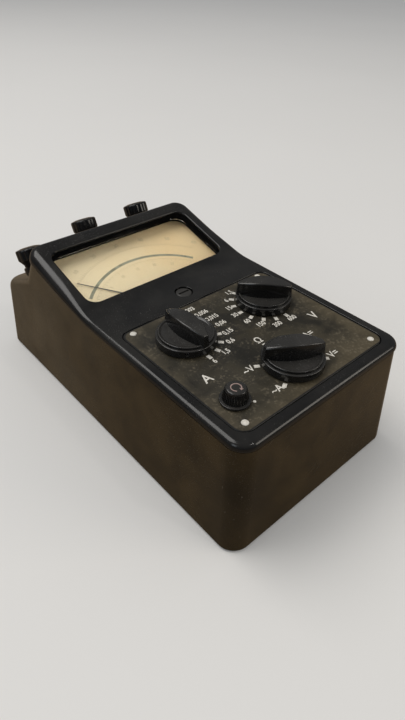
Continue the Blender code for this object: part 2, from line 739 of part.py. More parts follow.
def make_bottom():
    outline = case_ring(CASE_LENGTH / 2, 0, REBATE_WALL + GAP)
    plate = place(
        "bottom_plate", prism([(x, y) for x, y, _ in outline], FOOT_STAND, PLATE_TOP), Matrix(), BAKELITE)
    bosses = [
        moved(rod(BOARD_BOSS_RADIUS, FOOT_STAND + GAP, PLATE_TOP + BOARD_LIFT, COARSE_SIDES), shift(x, y, 0))
        for x, y in board_corners()]
    join_on(plate, gather(bosses), Matrix())
    head_seat = FOOT_STAND + SCREW_HEAD_HEIGHT
    counterbore = (
        (0, FOOT_STAND - OVERRUN), (SCREW_HEAD_RADIUS + GAP, FOOT_STAND - OVERRUN),
        (SCREW_HEAD_RADIUS + GAP, head_seat + GAP),
        (SCREW_RADIUS + GAP, head_seat + GAP), (SCREW_RADIUS + GAP, PLATE_TOP + OVERRUN),
        (0, PLATE_TOP + OVERRUN))
    holes = [moved(turned(counterbore, COARSE_SIDES), shift(x, y, 0)) for x, y in post_places()]
    foot_seat = FOOT_STAND + FOOT_SEAT
    socket = (
        (0, FOOT_STAND - OVERRUN), (FOOT_RADIUS + GAP, FOOT_STAND - OVERRUN), (FOOT_RADIUS + GAP, foot_seat),
        (FOOT_STEM_RADIUS + GAP, foot_seat), (FOOT_STEM_RADIUS + GAP, PLATE_TOP + OVERRUN),
        (0, PLATE_TOP + OVERRUN))
    foot = (
        (0, 0), (FOOT_RADIUS - FOOT_SEAT / 2, 0), (FOOT_RADIUS, FOOT_SEAT / 2),
        (FOOT_RADIUS, foot_seat - GAP),
        (FOOT_STEM_RADIUS, foot_seat - GAP), (FOOT_STEM_RADIUS, PLATE_TOP), (0, PLATE_TOP))
    for corner, side, way in CORNERS:
        at = shift(side * FOOT_SIDE, way * FOOT_REACH, 0)
        holes.append(moved(turned(socket, SIDES), at))
        place(corner + "_foot", turned(foot, SIDES), at, RUBBER)
    door_x, door_y = cradle_room()
    holes.append(block(door_x, door_y, (FOOT_STAND - OVERRUN, PLATE_TOP + OVERRUN)))
    carve(plate, gather(holes), Matrix())
    profile = (
        (0, FOOT_STAND), (SCREW_HEAD_RADIUS, FOOT_STAND), (SCREW_HEAD_RADIUS, head_seat),
        (SCREW_RADIUS, head_seat),
        (SCREW_RADIUS, FOOT_STAND + SCREW_LENGTH), (0, FOOT_STAND + SCREW_LENGTH))
    for (corner, _, _), (x, y) in zip(CORNERS, post_places()):
        place(corner + "_case_screw", turned(profile, COARSE_SIDES), shift(x, y, 0), STEEL)


def cradle_room():
    """The inside of the battery cradle, as limits along X and Y."""
    side = CELL_LENGTH / 2 + CELL_TIP_LENGTH + CRADLE_ROOM
    reach = CELL_RADIUS + CRADLE_WALL / 2
    return (-side, side), (CELL_REACH - reach, CELL_REACH + reach)


def make_battery():
    (left, right), (front, rear) = cradle_room()
    door_top = FOOT_STAND + DOOR_THICKNESS
    door_shape = block((left + GAP, right - GAP), (front + GAP, rear - GAP), (FOOT_STAND, door_top))
    door = place("battery_cover", door_shape, Matrix(), BAKELITE)
    tongue_low = PLATE_TOP + GAP
    tongue_high = tongue_low + TONGUE_THICKNESS
    half = TONGUE_WIDTH / 2
    tongues, notches = [], []
    for edge, way in ((front, 1), (rear, -1)):
        inner, outer = edge + way * (GAP + TONGUE_THICKNESS), edge - way * TONGUE_REACH
        tongues.append(
            block(
                (-half, half), sorted((edge + way * GAP, inner)),
                (FOOT_STAND + DOOR_THICKNESS / 2, tongue_high)))
        tongues.append(block((-half, half), sorted((outer, inner)), (tongue_low, tongue_high)))
        limits = sorted((outer - way * OVERRUN, inner))
        notches.append(block((-half - GAP, half + GAP), limits, (tongue_low - OVERRUN, tongue_high + GAP)))
    for shape in tongues:
        join_on(door, shape, Matrix())
    cell_z = door_top + GAP + CELL_RADIUS
    roof = cell_z + CELL_RADIUS + GAP
    wall = CRADLE_WALL
    shell = block((left - wall, right + wall), (front - wall, rear + wall), (PLATE_TOP + GAP, roof + wall))
    cradle = place("battery_cradle", shell, Matrix(), PHENOLIC)
    carve(cradle, block((left, right), (front, rear), (PLATE_TOP - OVERRUN, roof)), Matrix())
    carve(cradle, gather(notches), Matrix())
    reach = CELL_LENGTH / 2
    profile = (
        (0, -reach), (CELL_RADIUS, -reach), (CELL_RADIUS, reach), (CELL_TIP_RADIUS, reach),
        (CELL_TIP_RADIUS, reach + CELL_TIP_LENGTH), (0, reach + CELL_TIP_LENGTH))
    lay = shift(0, CELL_REACH, cell_z) @ Matrix.Rotation(QUARTER_TURN, 4, "Y")
    place("battery_cell", turned(profile, SIDES), lay, CELL_BLUE)
    ends = (("negative", left + GAP, -reach - GAP), ("positive", right - GAP, reach + CELL_TIP_LENGTH + GAP))
    for name, wall_x, cell_x in ends:
        strip = math.copysign(CONTACT_STRIP, -wall_x)
        low_z, high_z = cell_z - CELL_RADIUS / 2, cell_z + CELL_RADIUS / 2
        bow = (
            (wall_x, low_z), (cell_x - strip, cell_z), (wall_x, high_z),
            (wall_x + strip, high_z), (cell_x, cell_z), (wall_x + strip, low_z))
        leaf = moved(
            prism(bow, -CONTACT_STRIP_WIDTH / 2, CONTACT_STRIP_WIDTH / 2),
            Matrix.Rotation(QUARTER_TURN, 4, "X"))
        place(name + "_battery_contact", leaf, shift(0, CELL_REACH, 0), BRASS)


def grip_outline(trim):
    """A bar that is widest in the middle, with blunt ends."""
    half_length = GRIP_LENGTH / 2 - trim
    half_width = GRIP_WIDTH / 2 - trim
    half_end = GRIP_END / 2 - trim
    sag = half_width - half_end
    swell = (half_length ** 2 + sag ** 2) / (2 * sag)
    sweep = math.asin(half_length / swell)
    side = []
    for step in range(2 * ROUND_STEPS + 1):
        angle = sweep * (step / ROUND_STEPS - 1)
        side.append((swell * math.sin(angle), half_width - swell * (1 - math.cos(angle))))
    return [(x, -y) for x, y in side] + side[::-1]


def grip_ring(height, trim, crown):
    """One level of the grip; its ends lie lower than its middle by the crown."""
    half_length = GRIP_LENGTH / 2
    return [(x, y, height - crown * (x / half_length) ** 2) for x, y in grip_outline(trim)]


def make_selector(name, x, y, rest):
    """A knob with its shaft, grub screw and contact arm; the bar's index end points along local X."""
    axis = shift(x, y, 0) @ spin(rest)
    low = PANEL_TOP + KNOB_LIFT
    step, lip = low + SKIRT_HEIGHT, low + SKIRT_HEIGHT + TIER_RISE
    dish = TIER_RADIUS - TIER_LIP
    skirt = (
        (0, low), (SKIRT_RADIUS, low), (SKIRT_RADIUS, step - SKIRT_EDGE), (SKIRT_RADIUS - SKIRT_EDGE, step),
        (TIER_RADIUS, step), (TIER_RADIUS, lip - SKIRT_EDGE), (TIER_RADIUS - SKIRT_EDGE, lip), (dish, lip),
        (dish - DISH_DEPTH, lip - DISH_DEPTH), (0, lip - DISH_DEPTH))
    knob = place(name + "_knob", turned(skirt, FINE_SIDES), axis, BAKELITE)
    top = low + GRIP_HEIGHT
    foot = grip_ring(low + SKIRT_HEIGHT / 2, 0, 0)
    shoulder = grip_ring(top - GRIP_EDGE, GRIP_DRAFT, GRIP_CROWN)
    crest = grip_ring(top, GRIP_DRAFT + GRIP_EDGE, GRIP_CROWN)
    join_on(knob, skin([foot, shoulder, crest]), axis)
    hollow = (
        (0, low - OVERRUN), (KNOB_HOLLOW_RADIUS, low - OVERRUN),
        (KNOB_HOLLOW_RADIUS, low + KNOB_HOLLOW_DEPTH),
        (SHAFT_RADIUS + GAP, low + KNOB_HOLLOW_DEPTH), (SHAFT_RADIUS + GAP, low + KNOB_BORE_DEPTH),
        (0, low + KNOB_BORE_DEPTH))
    carve(knob, turned(hollow, COARSE_SIDES), axis)
    radial = shift(0, 0, low + GRUB_RISE) @ spin(GRUB_ANGLE) @ Matrix.Rotation(QUARTER_TURN, 4, "Y")
    carve(knob, moved(rod(GRUB_RADIUS, SHAFT_RADIUS, SKIRT_RADIUS + OVERRUN, COARSE_SIDES), radial), axis)
    arm_low = wafer_top() + CONTACT_HEIGHT + GAP
    tail = wafer_top() - WAFER_THICKNESS - SHAFT_TAIL
    top = low + KNOB_BORE_DEPTH - GAP
    profile = (
        (0, tail), (SHAFT_RADIUS, tail), (SHAFT_RADIUS, arm_low), (ROTOR_HUB_RADIUS, arm_low),
        (ROTOR_HUB_RADIUS, arm_low + ROTOR_HUB_HEIGHT), (SHAFT_RADIUS, arm_low + ROTOR_HUB_HEIGHT),
        (SHAFT_RADIUS, top), (0, top))
    shaft = place(name + "_switch_shaft", turned(profile, SIDES), axis, STEEL)
    tip = CONTACT_RING + CONTACT_RADIUS
    arm = block(
        (SHAFT_RADIUS, tip), (-ROTOR_WIDTH / 2, ROTOR_WIDTH / 2),
        (arm_low + GAP, arm_low + GAP + ROTOR_THICKNESS))
    join_on(shaft, arm, axis)


def frame_top(y):
    return deck_underside(y) - GAP


def wafer_top():
    return SEAT_HEIGHT - FRAME_THICKNESS - WAFER_DROP


def make_switch(name, x, y, contact_angles):
    """The fixed half of a rotary switch: a metal frame with its bush, and the contact wafer."""
    place_at = shift(x, y, 0)
    top = frame_top(y)
    low = top - FRAME_THICKNESS
    bush_top = PANEL_TOP + BUSH_RISE
    inner = SHAFT_RADIUS + GAP
    profile = (
        (inner, low), (FRAME_RADIUS, low), (FRAME_RADIUS, top), (BUSH_RADIUS, top), (BUSH_RADIUS, bush_top),
        (inner, bush_top))
    frame = place(name + "_switch_frame", turned(profile, SIDES, closed=True), place_at, STEEL)
    legs = [
        moved(
            rod(FRAME_POST_RADIUS, wafer_top() + GAP, low + FRAME_THICKNESS / 2, COARSE_SIDES),
            shift(way * FRAME_POST_SIDE, 0, 0))
        for way in (-1, 1)]
    join_on(frame, gather(legs), place_at)
    bottom = wafer_top() - WAFER_THICKNESS
    wafer = place(
        name + "_switch_wafer", ring(WAFER_BORE, WAFER_RADIUS, bottom, wafer_top(), SIDES), place_at,
        PHENOLIC)
    studs = []
    for angle in contact_angles:
        stud = rod(
            CONTACT_RADIUS, wafer_top() - WAFER_THICKNESS / 2, wafer_top() + CONTACT_HEIGHT,
            COARSE_SIDES // 2)
        studs.append(moved(stud, spin(angle) @ shift(CONTACT_RING, 0, 0)))
    join_on(wafer, gather(studs), place_at)


def fluted(levels, flutes, depth, points_per_flute=3):
    """A knob turned from levels of (radius, height, flute share) with grooves down its side."""
    count = flutes * points_per_flute
    rings = []
    for radius, height, share in levels:
        points = []
        for step in range(count):
            angle = math.tau * (step + 1 / 2) / count - QUARTER_TURN
            groove = depth * share * (1 - math.cos(flutes * (angle + QUARTER_TURN))) / 2
            points.append(((radius - groove) * math.cos(angle), (radius - groove) * math.sin(angle), height))
        rings.append(points)
    return skin(rings)


def make_ohms_control():
    axis = shift(-OHMS_SIDE, RIM_FRONT + OHMS_REACH, 0)
    low = PANEL_TOP + KNOB_LIFT
    flange = low + OHMS_FLANGE_HEIGHT
    top = low + OHMS_HEIGHT
    edge = OHMS_KNURL_DEPTH
    levels = (
        (OHMS_FLANGE_RADIUS, low, 0), (OHMS_FLANGE_RADIUS, flange - edge, 0),
        (OHMS_FLANGE_RADIUS - edge, flange, 0),
        (OHMS_FOOT_RADIUS, flange, 1), (OHMS_TOP_RADIUS, top - edge, 1), (OHMS_TOP_RADIUS - 2 * edge, top, 0))
    knob = place("zero_ohms_knob", fluted(levels, OHMS_KNURLS, OHMS_KNURL_DEPTH, 2), axis, BAKELITE)
    bore = rod(OHMS_SHAFT_RADIUS + GAP, low - OVERRUN, low + OHMS_BORE_DEPTH, COARSE_SIDES)
    carve(knob, bore, axis)
    pot_top = frame_top(axis.translation.y)
    place(
        "zero_ohms_shaft",
        rod(OHMS_SHAFT_RADIUS, pot_top - POT_HEIGHT / 2, low + OHMS_BORE_DEPTH - GAP, COARSE_SIDES), axis,
        STEEL)
    inner = OHMS_SHAFT_RADIUS + GAP
    floor = pot_top - POT_HEIGHT / 2 - GAP
    bush_top = PANEL_TOP
    profile = (
        (0, pot_top - POT_HEIGHT), (POT_RADIUS, pot_top - POT_HEIGHT), (POT_RADIUS, pot_top),
        (POT_COLLAR_RADIUS, pot_top),
        (POT_COLLAR_RADIUS, bush_top), (inner, bush_top), (inner, floor), (0, floor))
    place("zero_ohms_potentiometer", turned(profile, SIDES), axis, ALUMINIUM)


def make_adjuster():
    """The slotted screw that moves the pointer's zero, and the forked lever that its pin turns."""
    axis = shift(0, HEAD_Y - ADJUSTER_SETBACK, 0)
    top = PANEL_HEIGHT - ADJUSTER_SINK
    neck = top - ADJUSTER_HEAD
    foot = deck_underside(axis.translation.y) - GAP
    profile = (
        (0, foot), (ADJUSTER_STEM, foot), (ADJUSTER_STEM, neck), (ADJUSTER_RADIUS, neck),
        (ADJUSTER_RADIUS, top), (0, top))
    screw = place("zero_adjust_screw", turned(profile, SIDES), axis, BAKELITE)
    slot_side = ADJUSTER_SLOT_LENGTH / 2
    slot = block(
        (-slot_side, slot_side), (-ADJUSTER_SLOT / 2, ADJUSTER_SLOT / 2),
        (top - ADJUSTER_SLOT_DEPTH, top + OVERRUN))
    carve(screw, slot, axis)
    pin = moved(rod(ECCENTRIC_PIN, foot - ECCENTRIC_DEPTH, neck, COARSE_SIDES), shift(0, -ECCENTRIC, 0))
    join_on(screw, pin, axis)
    low, high = -LEVER_DEPTH - LEVER_THICKNESS, -LEVER_DEPTH
    lever = place(
        "zero_adjust_lever", ring(JEWEL_RADIUS + GAP, LEVER_RADIUS, low, high, SIDES), MOVEMENT_FRAME, BRASS)
    root = (JEWEL_RADIUS + GAP + LEVER_RADIUS) / 2
    fork = block((-LEVER_FORK_WIDTH / 2, LEVER_FORK_WIDTH / 2), (-LEVER_FORK_LENGTH, -root), (low, high))
    tab_side = LEVER_TAB_WIDTH / 2
    tab_inner = SPRING_OUTER + SPRING_STRIP + GAP
    tab_outer = tab_inner + LEVER_TAB_THICKNESS
    arm = block((-tab_side, tab_side), (root, tab_inner + GAP), (low, high))
    hook = block((-tab_side, tab_side), (tab_inner, tab_outer), (-SPRING_DEPTH - SPRING_HEIGHT, high))
    join_on(lever, gather([fork, arm]), MOVEMENT_FRAME)
    join_on(lever, hook, MOVEMENT_FRAME)
    slot_half = LEVER_SLOT / 2
    slot_cut = block(
        (-slot_half, slot_half), (-LEVER_FORK_LENGTH - OVERRUN, -LEVER_RADIUS + GAP),
        (low - OVERRUN, high + OVERRUN))
    carve(lever, slot_cut, MOVEMENT_FRAME)


def sector(inner, outer, low, high, start, sweep, steps):
    """A slice of a ring between two angles."""
    outline = []
    for radius, order in ((outer, range(steps + 1)), (inner, range(steps, -1, -1))):
        for step in order:
            angle = start + sweep * step / steps
            outline.append((radius * math.cos(angle), radius * math.sin(angle)))
    return prism(outline, low, high)


def hairspring(depth):
    """A flat spiral strip that opens evenly from the staff to its anchor."""
    steps = SPRING_TURNS * COARSE_SIDES
    inner, outer = [], []
    for step in range(steps + 1):
        share = step / steps
        angle = QUARTER_TURN + math.tau * SPRING_TURNS * (share - 1)
        radius = SPRING_INNER + (SPRING_OUTER - SPRING_INNER) * share
        inner.append((radius * math.cos(angle), radius * math.sin(angle)))
        outer.append(((radius + SPRING_STRIP) * math.cos(angle), (radius + SPRING_STRIP) * math.sin(angle)))
    shape = bmesh.new()
    strips = []
    for z in (-depth - SPRING_HEIGHT, -depth):
        strips.append([[shape.verts.new((x, y, z)) for x, y in side] for side in (inner, outer)])
    (low_in, low_out), (high_in, high_out) = strips
    for i in range(steps):
        shape.faces.new((low_in[i], low_in[i + 1], low_out[i + 1], low_out[i]))
        shape.faces.new((high_in[i], high_out[i], high_out[i + 1], high_in[i + 1]))
        shape.faces.new((low_in[i], high_in[i], high_in[i + 1], low_in[i + 1]))
        shape.faces.new((low_out[i], low_out[i + 1], high_out[i + 1], high_out[i]))
    shape.faces.new((low_in[0], low_out[0], high_out[0], high_in[0]))
    shape.faces.new((low_in[-1], high_in[-1], high_out[-1], low_out[-1]))
    return shape


def make_movement():
    """Moving coil, magnet and bridges; local Z runs up the movement's axis."""
    pole_low = -POLE_DEPTH - POLE_HEIGHT
    pole_start = -POLE_SPAN / 2
    for name, turn in (("right", 0), ("left", math.pi)):
        pole = sector(
            POLE_INNER, POLE_OUTER, pole_low, -POLE_DEPTH, pole_start + turn, POLE_SPAN, 2 * ROUND_STEPS)
        place(name + "_pole_piece", pole, MOVEMENT_FRAME, IRON)
    magnet_inner = POLE_OUTER + GAP
    magnet_start = -QUARTER_TURN + MAGNET_OPENING / 2
    sweep = math.tau - MAGNET_OPENING
    magnet = sector(
        magnet_inner, magnet_inner + MAGNET_THICKNESS, pole_low, -POLE_DEPTH, magnet_start, sweep,
        COARSE_SIDES + 2 * ROUND_STEPS)
    place("magnet", magnet, MOVEMENT_FRAME, IRON)
    coil_low = -COIL_DEPTH - COIL_HEIGHT
    core = place(
        "iron_core", rod(CORE_RADIUS, coil_low + COIL_BAR + GAP, -COIL_DEPTH - COIL_BAR - GAP, SIDES),
        MOVEMENT_FRAME, IRON)
    middle = pole_low + POLE_HEIGHT / 2
    strip = block(
        (-CORE_STRIP / 2, CORE_STRIP / 2), (CORE_RADIUS / 2, POLE_OUTER),
        (middle - CORE_STRIP_HEIGHT / 2, middle + CORE_STRIP_HEIGHT / 2))
    join_on(core, strip, MOVEMENT_FRAME)
    make_coil(coil_low)
    make_bracket(pole_low, coil_low)
    place("pointer", pointer_shape(), MOVEMENT_FRAME @ spin(POINTER_REST), ALUMINIUM)
    place("upper_hairspring", hairspring(SPRING_DEPTH), MOVEMENT_FRAME, SPRING_BRONZE)
    place("lower_hairspring", hairspring(bottom_spring_depth(coil_low)), MOVEMENT_FRAME, SPRING_BRONZE)


def bottom_spring_depth(coil_low):
    return -coil_low + BRACKET_THICKNESS


def make_coil(coil_low):
    half = COIL_WIDTH / 2
    axis = MOVEMENT_FRAME @ spin(POINTER_REST)
    coil = place(
        "moving_coil", block((-COIL_OUTER, COIL_OUTER), (-half, half), (coil_low, -COIL_DEPTH)), axis, COPPER)
    hole = block(
        (-COIL_INNER, COIL_INNER), (-half - OVERRUN, half + OVERRUN),
        (coil_low + COIL_BAR, -COIL_DEPTH - COIL_BAR))
    carve(coil, hole, axis)
    top = -BRIDGE_DEPTH - BRIDGE_THICKNESS - GAP
    pivots = [
        rod(PIVOT_RADIUS, -COIL_DEPTH - COIL_BAR / 2, top, COARSE_SIDES),
        rod(PIVOT_RADIUS, -bottom_bridge_depth(coil_low) + GAP, coil_low + COIL_BAR / 2, COARSE_SIDES)]
    join_on(coil, gather(pivots), axis)


def bottom_bridge_depth(coil_low):
    return bottom_spring_depth(coil_low) + SPRING_HEIGHT + BRIDGE_THICKNESS


def pointer_shape():
    """A thin blade from the hub to the scale, a balance tail and two side arms, in one outline."""
    blade, tail = POINTER_WIDTH / 2, POINTER_TAIL_WIDTH / 2
    hub = POINTER_HUB / 2
    outline = (
        (hub, -hub), (POINTER_TAIL, -tail), (POINTER_TAIL, tail), (hub, hub), (2 * blade, POINTER_HUB),
        (blade / 2, POINTER_REACH), (-blade / 2, POINTER_REACH), (-2 * blade, POINTER_HUB), (-hub, hub),
        (-POINTER_TAIL, tail), (-POINTER_TAIL, -tail), (-hub, -hub), (-tail, -POINTER_TAIL),
        (tail, -POINTER_TAIL))
    low = -POINTER_DEPTH - POINTER_THICKNESS
    shape = bmesh.new()
    inner = [
        (math.cos(a) * (PIVOT_RADIUS + GAP), math.sin(a) * (PIVOT_RADIUS + GAP))
        for a in pointer_hub_angles(outline)]
    levels = []
    for z in (low, -POINTER_DEPTH):
        levels.append([[shape.verts.new((x, y, z)) for x, y in points] for points in (outline, inner)])
    (low_out, low_in), (high_out, high_in) = levels
    count = len(outline)
    for i in range(count):
        j = (i + 1) % count
        shape.faces.new((low_out[i], low_in[i], low_in[j], low_out[j]))
        shape.faces.new((high_out[i], high_out[j], high_in[j], high_in[i]))
        shape.faces.new((low_out[i], low_out[j], high_out[j], high_out[i]))
        shape.faces.new((low_in[i], high_in[i], high_in[j], low_in[j]))
    return shape


def pointer_hub_angles(outline):
    """An even spread of angles round the hub's hole, one for each point of the outline."""
    start = math.atan2(outline[0][1], outline[0][0])
    return [start + math.tau * number / len(outline) for number in range(len(outline))]


def make_bracket(pole_low, coil_low):
    """The bridges at both ends of the axis, and the bracket that hangs the movement from the deck."""
    half = BRIDGE_WIDTH / 2
    top, low = -BRIDGE_DEPTH, -BRIDGE_DEPTH - BRIDGE_THICKNESS
    bridge = place(
        "top_bridge", block((-BRIDGE_SPAN, BRIDGE_SPAN), (-half, half), (low, top)), MOVEMENT_FRAME, BRASS)
    inner = BRIDGE_SPAN - BRIDGE_LEG
    legs = [
        block(
            sorted((way * inner, way * BRIDGE_SPAN)), (-half, half),
            (-POLE_DEPTH + GAP, low + BRIDGE_THICKNESS / 2)) for way in (-1, 1)]
    legs.append(rod(JEWEL_RADIUS, top - BRIDGE_THICKNESS / 2, top + JEWEL_RISE, COARSE_SIDES))
    join_on(bridge, gather(legs), MOVEMENT_FRAME)
    plate_top = pole_low - GAP
    plate_low = plate_top - BRACKET_THICKNESS
    plate = block(
        (-BRACKET_SPAN / 2, BRACKET_SPAN / 2), (-BRACKET_WIDTH / 2, BRACKET_WIDTH / 2),
        (plate_low, plate_top))
    bracket = place("movement_bracket", plate, MOVEMENT_FRAME, ALUMINIUM)
    carve(bracket, rod(BRACKET_BORE, plate_low - OVERRUN, plate_top + OVERRUN, SIDES), MOVEMENT_FRAME)
    pillars = []
    for way in (-1, 1):
        pillars.append(
            moved(
                rod(PILLAR_RADIUS, plate_top - BRACKET_THICKNESS / 2, pillar_top(), COARSE_SIDES),
                shift(way * PILLAR_SIDE, 0, 0)))
    join_on(bracket, gather(pillars), MOVEMENT_FRAME)
    bridge_top = -bottom_bridge_depth(coil_low)
    foot = place(
        "bottom_bridge",
        block((-BRIDGE_SPAN, BRIDGE_SPAN), (-half, half), (bridge_top - BRIDGE_THICKNESS, bridge_top)),
        MOVEMENT_FRAME, BRASS)
    feet = [
        block(
            sorted((way * inner, way * BRIDGE_SPAN)), (-half, half),
            (bridge_top - BRIDGE_THICKNESS / 2, plate_low - GAP))
        for way in (-1, 1)]
    join_on(foot, gather(feet), MOVEMENT_FRAME)


def pillar_top():
    """Highest point of a pillar that leans with the movement and still clears the flat deck above it."""
    axis_y = HEAD_Y - PIVOT_SETBACK * math.cos(HEAD_ANGLE)
    axis_z = PANEL_HEIGHT - PIVOT_SETBACK * math.sin(HEAD_ANGLE)
    room = deck_underside(axis_y) - GAP - UNDERSIDE_DROP - axis_z
    return room / math.cos(HEAD_ANGLE) - PILLAR_RADIUS * math.tan(HEAD_ANGLE)


def make_terminal_cap(name, x, lift):
    """A screw cap with its brass insert, raised by the lift that the photograph shows."""
    axis = terminal_frame(x) @ shift(0, 0, CAP_DOWN + lift)
    head = CAP_HEIGHT - CAP_HEAD_HEIGHT
    top = CAP_HEIGHT
    levels = (
        (CAP_NECK_RADIUS, 0, 0), (CAP_NECK_RADIUS, CAP_NECK_HEIGHT, 0),
        (CAP_RADIUS - CAP_FLUTE_DEPTH, head, 1),
        (CAP_RADIUS, head + CAP_EDGE, 1), (CAP_RADIUS, top - CAP_EDGE - CAP_CROWN, 1),
        (CAP_RADIUS - CAP_EDGE, top - CAP_CROWN, 0), (CAP_RADIUS / 2, top, 0))
    cap = place(name + "_terminal_cap", fluted(levels, CAP_FLUTES, CAP_FLUTE_DEPTH), axis, BAKELITE)
    tip = STUD_TOP - CAP_DOWN + GAP
    bore = (
        (0, -OVERRUN), (CAP_BORE_RADIUS, -OVERRUN), (CAP_BORE_RADIUS, CAP_BORE_DEPTH),
        (STUD_RADIUS + GAP, CAP_BORE_DEPTH),
        (STUD_RADIUS + GAP, tip), (0, tip))
    carve(cap, turned(bore, COARSE_SIDES), axis)
    start = CAP_BORE_DEPTH - GAP - INSERT_HEIGHT
    insert = ring(STUD_RADIUS + GAP, CAP_BORE_RADIUS - GAP, start, start + INSERT_HEIGHT, COARSE_SIDES)
    place(name + "_terminal_insert", insert, axis, BRASS)


def make_terminals():
    inside = -LEDGE_NORMAL_WALL
    inner = STUD_RADIUS + GAP
    top = GAP + COLLAR_HEIGHT
    collar = (
        (inner, inside), (COLLAR_STEM_RADIUS, inside), (COLLAR_STEM_RADIUS, GAP), (COLLAR_RADIUS, GAP),
        (COLLAR_RADIUS, top - GAP), (COLLAR_RADIUS - GAP, top), (inner, top))
    nut_top = inside - GAP
    nut_low = nut_top - NUT_HEIGHT
    stud_low = nut_low - NUT_HEIGHT
    stud = (
        (0, stud_low), (STUD_RADIUS, stud_low), (STUD_RADIUS, nut_low), (NUT_RADIUS, nut_low),
        (NUT_RADIUS, nut_top),
        (STUD_RADIUS, nut_top), (STUD_RADIUS, STUD_TOP), (0, STUD_TOP))
    for name, x, lift in TERMINALS:
        make_terminal_cap(name, x, lift)
        place(name + "_terminal_collar", turned(collar, SIDES, closed=True), terminal_frame(x), BAKELITE)
        place(name + "_terminal_stud", turned(stud, COARSE_SIDES), terminal_frame(x), BRASS)


def board_centre():
    return RIM_FRONT + BOARD_REACH + BOARD_LENGTH / 2


def board_corners():
    x = BOARD_WIDTH / 2 - BOARD_BOSS_INSET
    y = BOARD_LENGTH / 2 - BOARD_BOSS_INSET
    return [(side * x, board_centre() + way * y) for side in (-1, 1) for way in (-1, 1)]


def make_board():
    """The board with its soldered resistors, shunt strips and rectifier, as one piece."""
    low = PLATE_TOP + BOARD_LIFT + GAP
    top = low + BOARD_THICKNESS
    side, reach = BOARD_WIDTH / 2, BOARD_LENGTH / 2
    centre = board_centre()
    board = place(
        "circuit_board", block((-side, side), (centre - reach, centre + reach), (low, top)), Matrix(),
        PHENOLIC)
    resistors = []
    lie = Matrix.Rotation(QUARTER_TURN, 4, "Y")
    axle = top + RESISTOR_RADIUS - SOLDER_DEPTH
    for way in (-1, 1):
        for row in range(RESISTOR_ROWS):
            y = centre + (row - (RESISTOR_ROWS - 1) / 2) * RESISTOR_PITCH
            body = rod(RESISTOR_RADIUS, -RESISTOR_LENGTH / 2, RESISTOR_LENGTH / 2, COARSE_SIDES)
            resistors.append(moved(body, shift(way * RESISTOR_SIDE, y, axle) @ lie))
    join_on(board, gather(resistors), Matrix())
    shunts = []
    half = SHUNT_WIDTH / 2
    wire = SHUNT_WIRE
    floor, roof = top - SOLDER_DEPTH, top + SHUNT_HEIGHT
    arch = (
        (-half, floor), (-half + wire, floor), (-half + wire, roof - wire), (half - wire, roof - wire),
        (half - wire, floor), (half, floor), (half, roof), (-half, roof))
    for number in range(SHUNT_COUNT):
        strip = moved(prism(arch, -wire / 2, wire / 2), Matrix.Rotation(QUARTER_TURN, 4, "X"))
        shunts.append(moved(strip, shift(0, centre - reach / 2 + number * SHUNT_PITCH, 0)))
    join_on(board, gather(shunts), Matrix())
    half_plate = RECTIFIER_PLATE / 2
    bolt_length = RECTIFIER_PITCH * RECTIFIER_COUNT
    at = shift(0, centre + reach / 2, top - SOLDER_DEPTH + half_plate) @ Matrix.Rotation(QUARTER_TURN, 4, "X")
    fins = []
    for number in range(RECTIFIER_COUNT):
        start = (number - (RECTIFIER_COUNT - 1) / 2) * RECTIFIER_PITCH
        fins.append(
            block((-half_plate, half_plate), (-half_plate, half_plate), (start, start + RECTIFIER_THICKNESS)))
    join_on(board, gather(fins), at)
    join_on(board, rod(RECTIFIER_BOLT, -bolt_length / 2, bolt_length / 2, COARSE_SIDES), at)


def build():
    clear_scene()
    make_case()
    make_cover()
    make_panel()
    make_dial()
    make_bottom()
    make_battery()
    for name, x, y, rest, contact_angles in selector_places():
        make_selector(name, x, y, rest)
        make_switch(name, x, y, contact_angles)
    make_ohms_control()
    make_adjuster()
    make_movement()
    make_terminals()
    make_board()


build()
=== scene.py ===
# %% [markdown]
# # Analog multimeter: surfaces, prints and light
#
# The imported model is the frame. Every piece below sits where that frame says, and it adds what a
# mould, a press and a printer would leave on the real instrument: soft edges, lips, knurls, printed
# ranges, a drawn scale and a worn finish.

# %% Load the frame
import math

import bmesh
import bpy
from mathutils import Matrix, Vector


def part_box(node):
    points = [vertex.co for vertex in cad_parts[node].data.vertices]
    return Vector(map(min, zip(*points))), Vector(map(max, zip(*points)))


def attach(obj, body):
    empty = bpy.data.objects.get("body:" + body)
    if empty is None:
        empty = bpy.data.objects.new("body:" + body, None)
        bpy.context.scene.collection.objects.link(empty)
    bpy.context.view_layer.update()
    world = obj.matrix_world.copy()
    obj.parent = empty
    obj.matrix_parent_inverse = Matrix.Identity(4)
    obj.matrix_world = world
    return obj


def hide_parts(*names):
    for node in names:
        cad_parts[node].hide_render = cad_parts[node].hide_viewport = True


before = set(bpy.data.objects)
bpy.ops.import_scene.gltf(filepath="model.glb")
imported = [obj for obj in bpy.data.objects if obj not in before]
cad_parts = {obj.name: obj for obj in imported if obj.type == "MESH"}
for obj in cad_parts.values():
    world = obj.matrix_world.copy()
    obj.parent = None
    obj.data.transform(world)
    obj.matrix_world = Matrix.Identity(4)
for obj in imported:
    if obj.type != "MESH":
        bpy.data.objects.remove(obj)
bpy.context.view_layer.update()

# %% [markdown]
# ## Measures
#
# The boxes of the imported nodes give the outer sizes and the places. The few slopes and radii that a
# box can't tell are named here once.

# %% Measures
case_low, case_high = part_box("case_body")
cover_low, cover_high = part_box("top_cover")
panel_low, panel_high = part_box("panel_plate")

GAP = 0.0003
OVERRUN = 0.002
FULL_TURN = math.tau
QUARTER = math.pi / 2

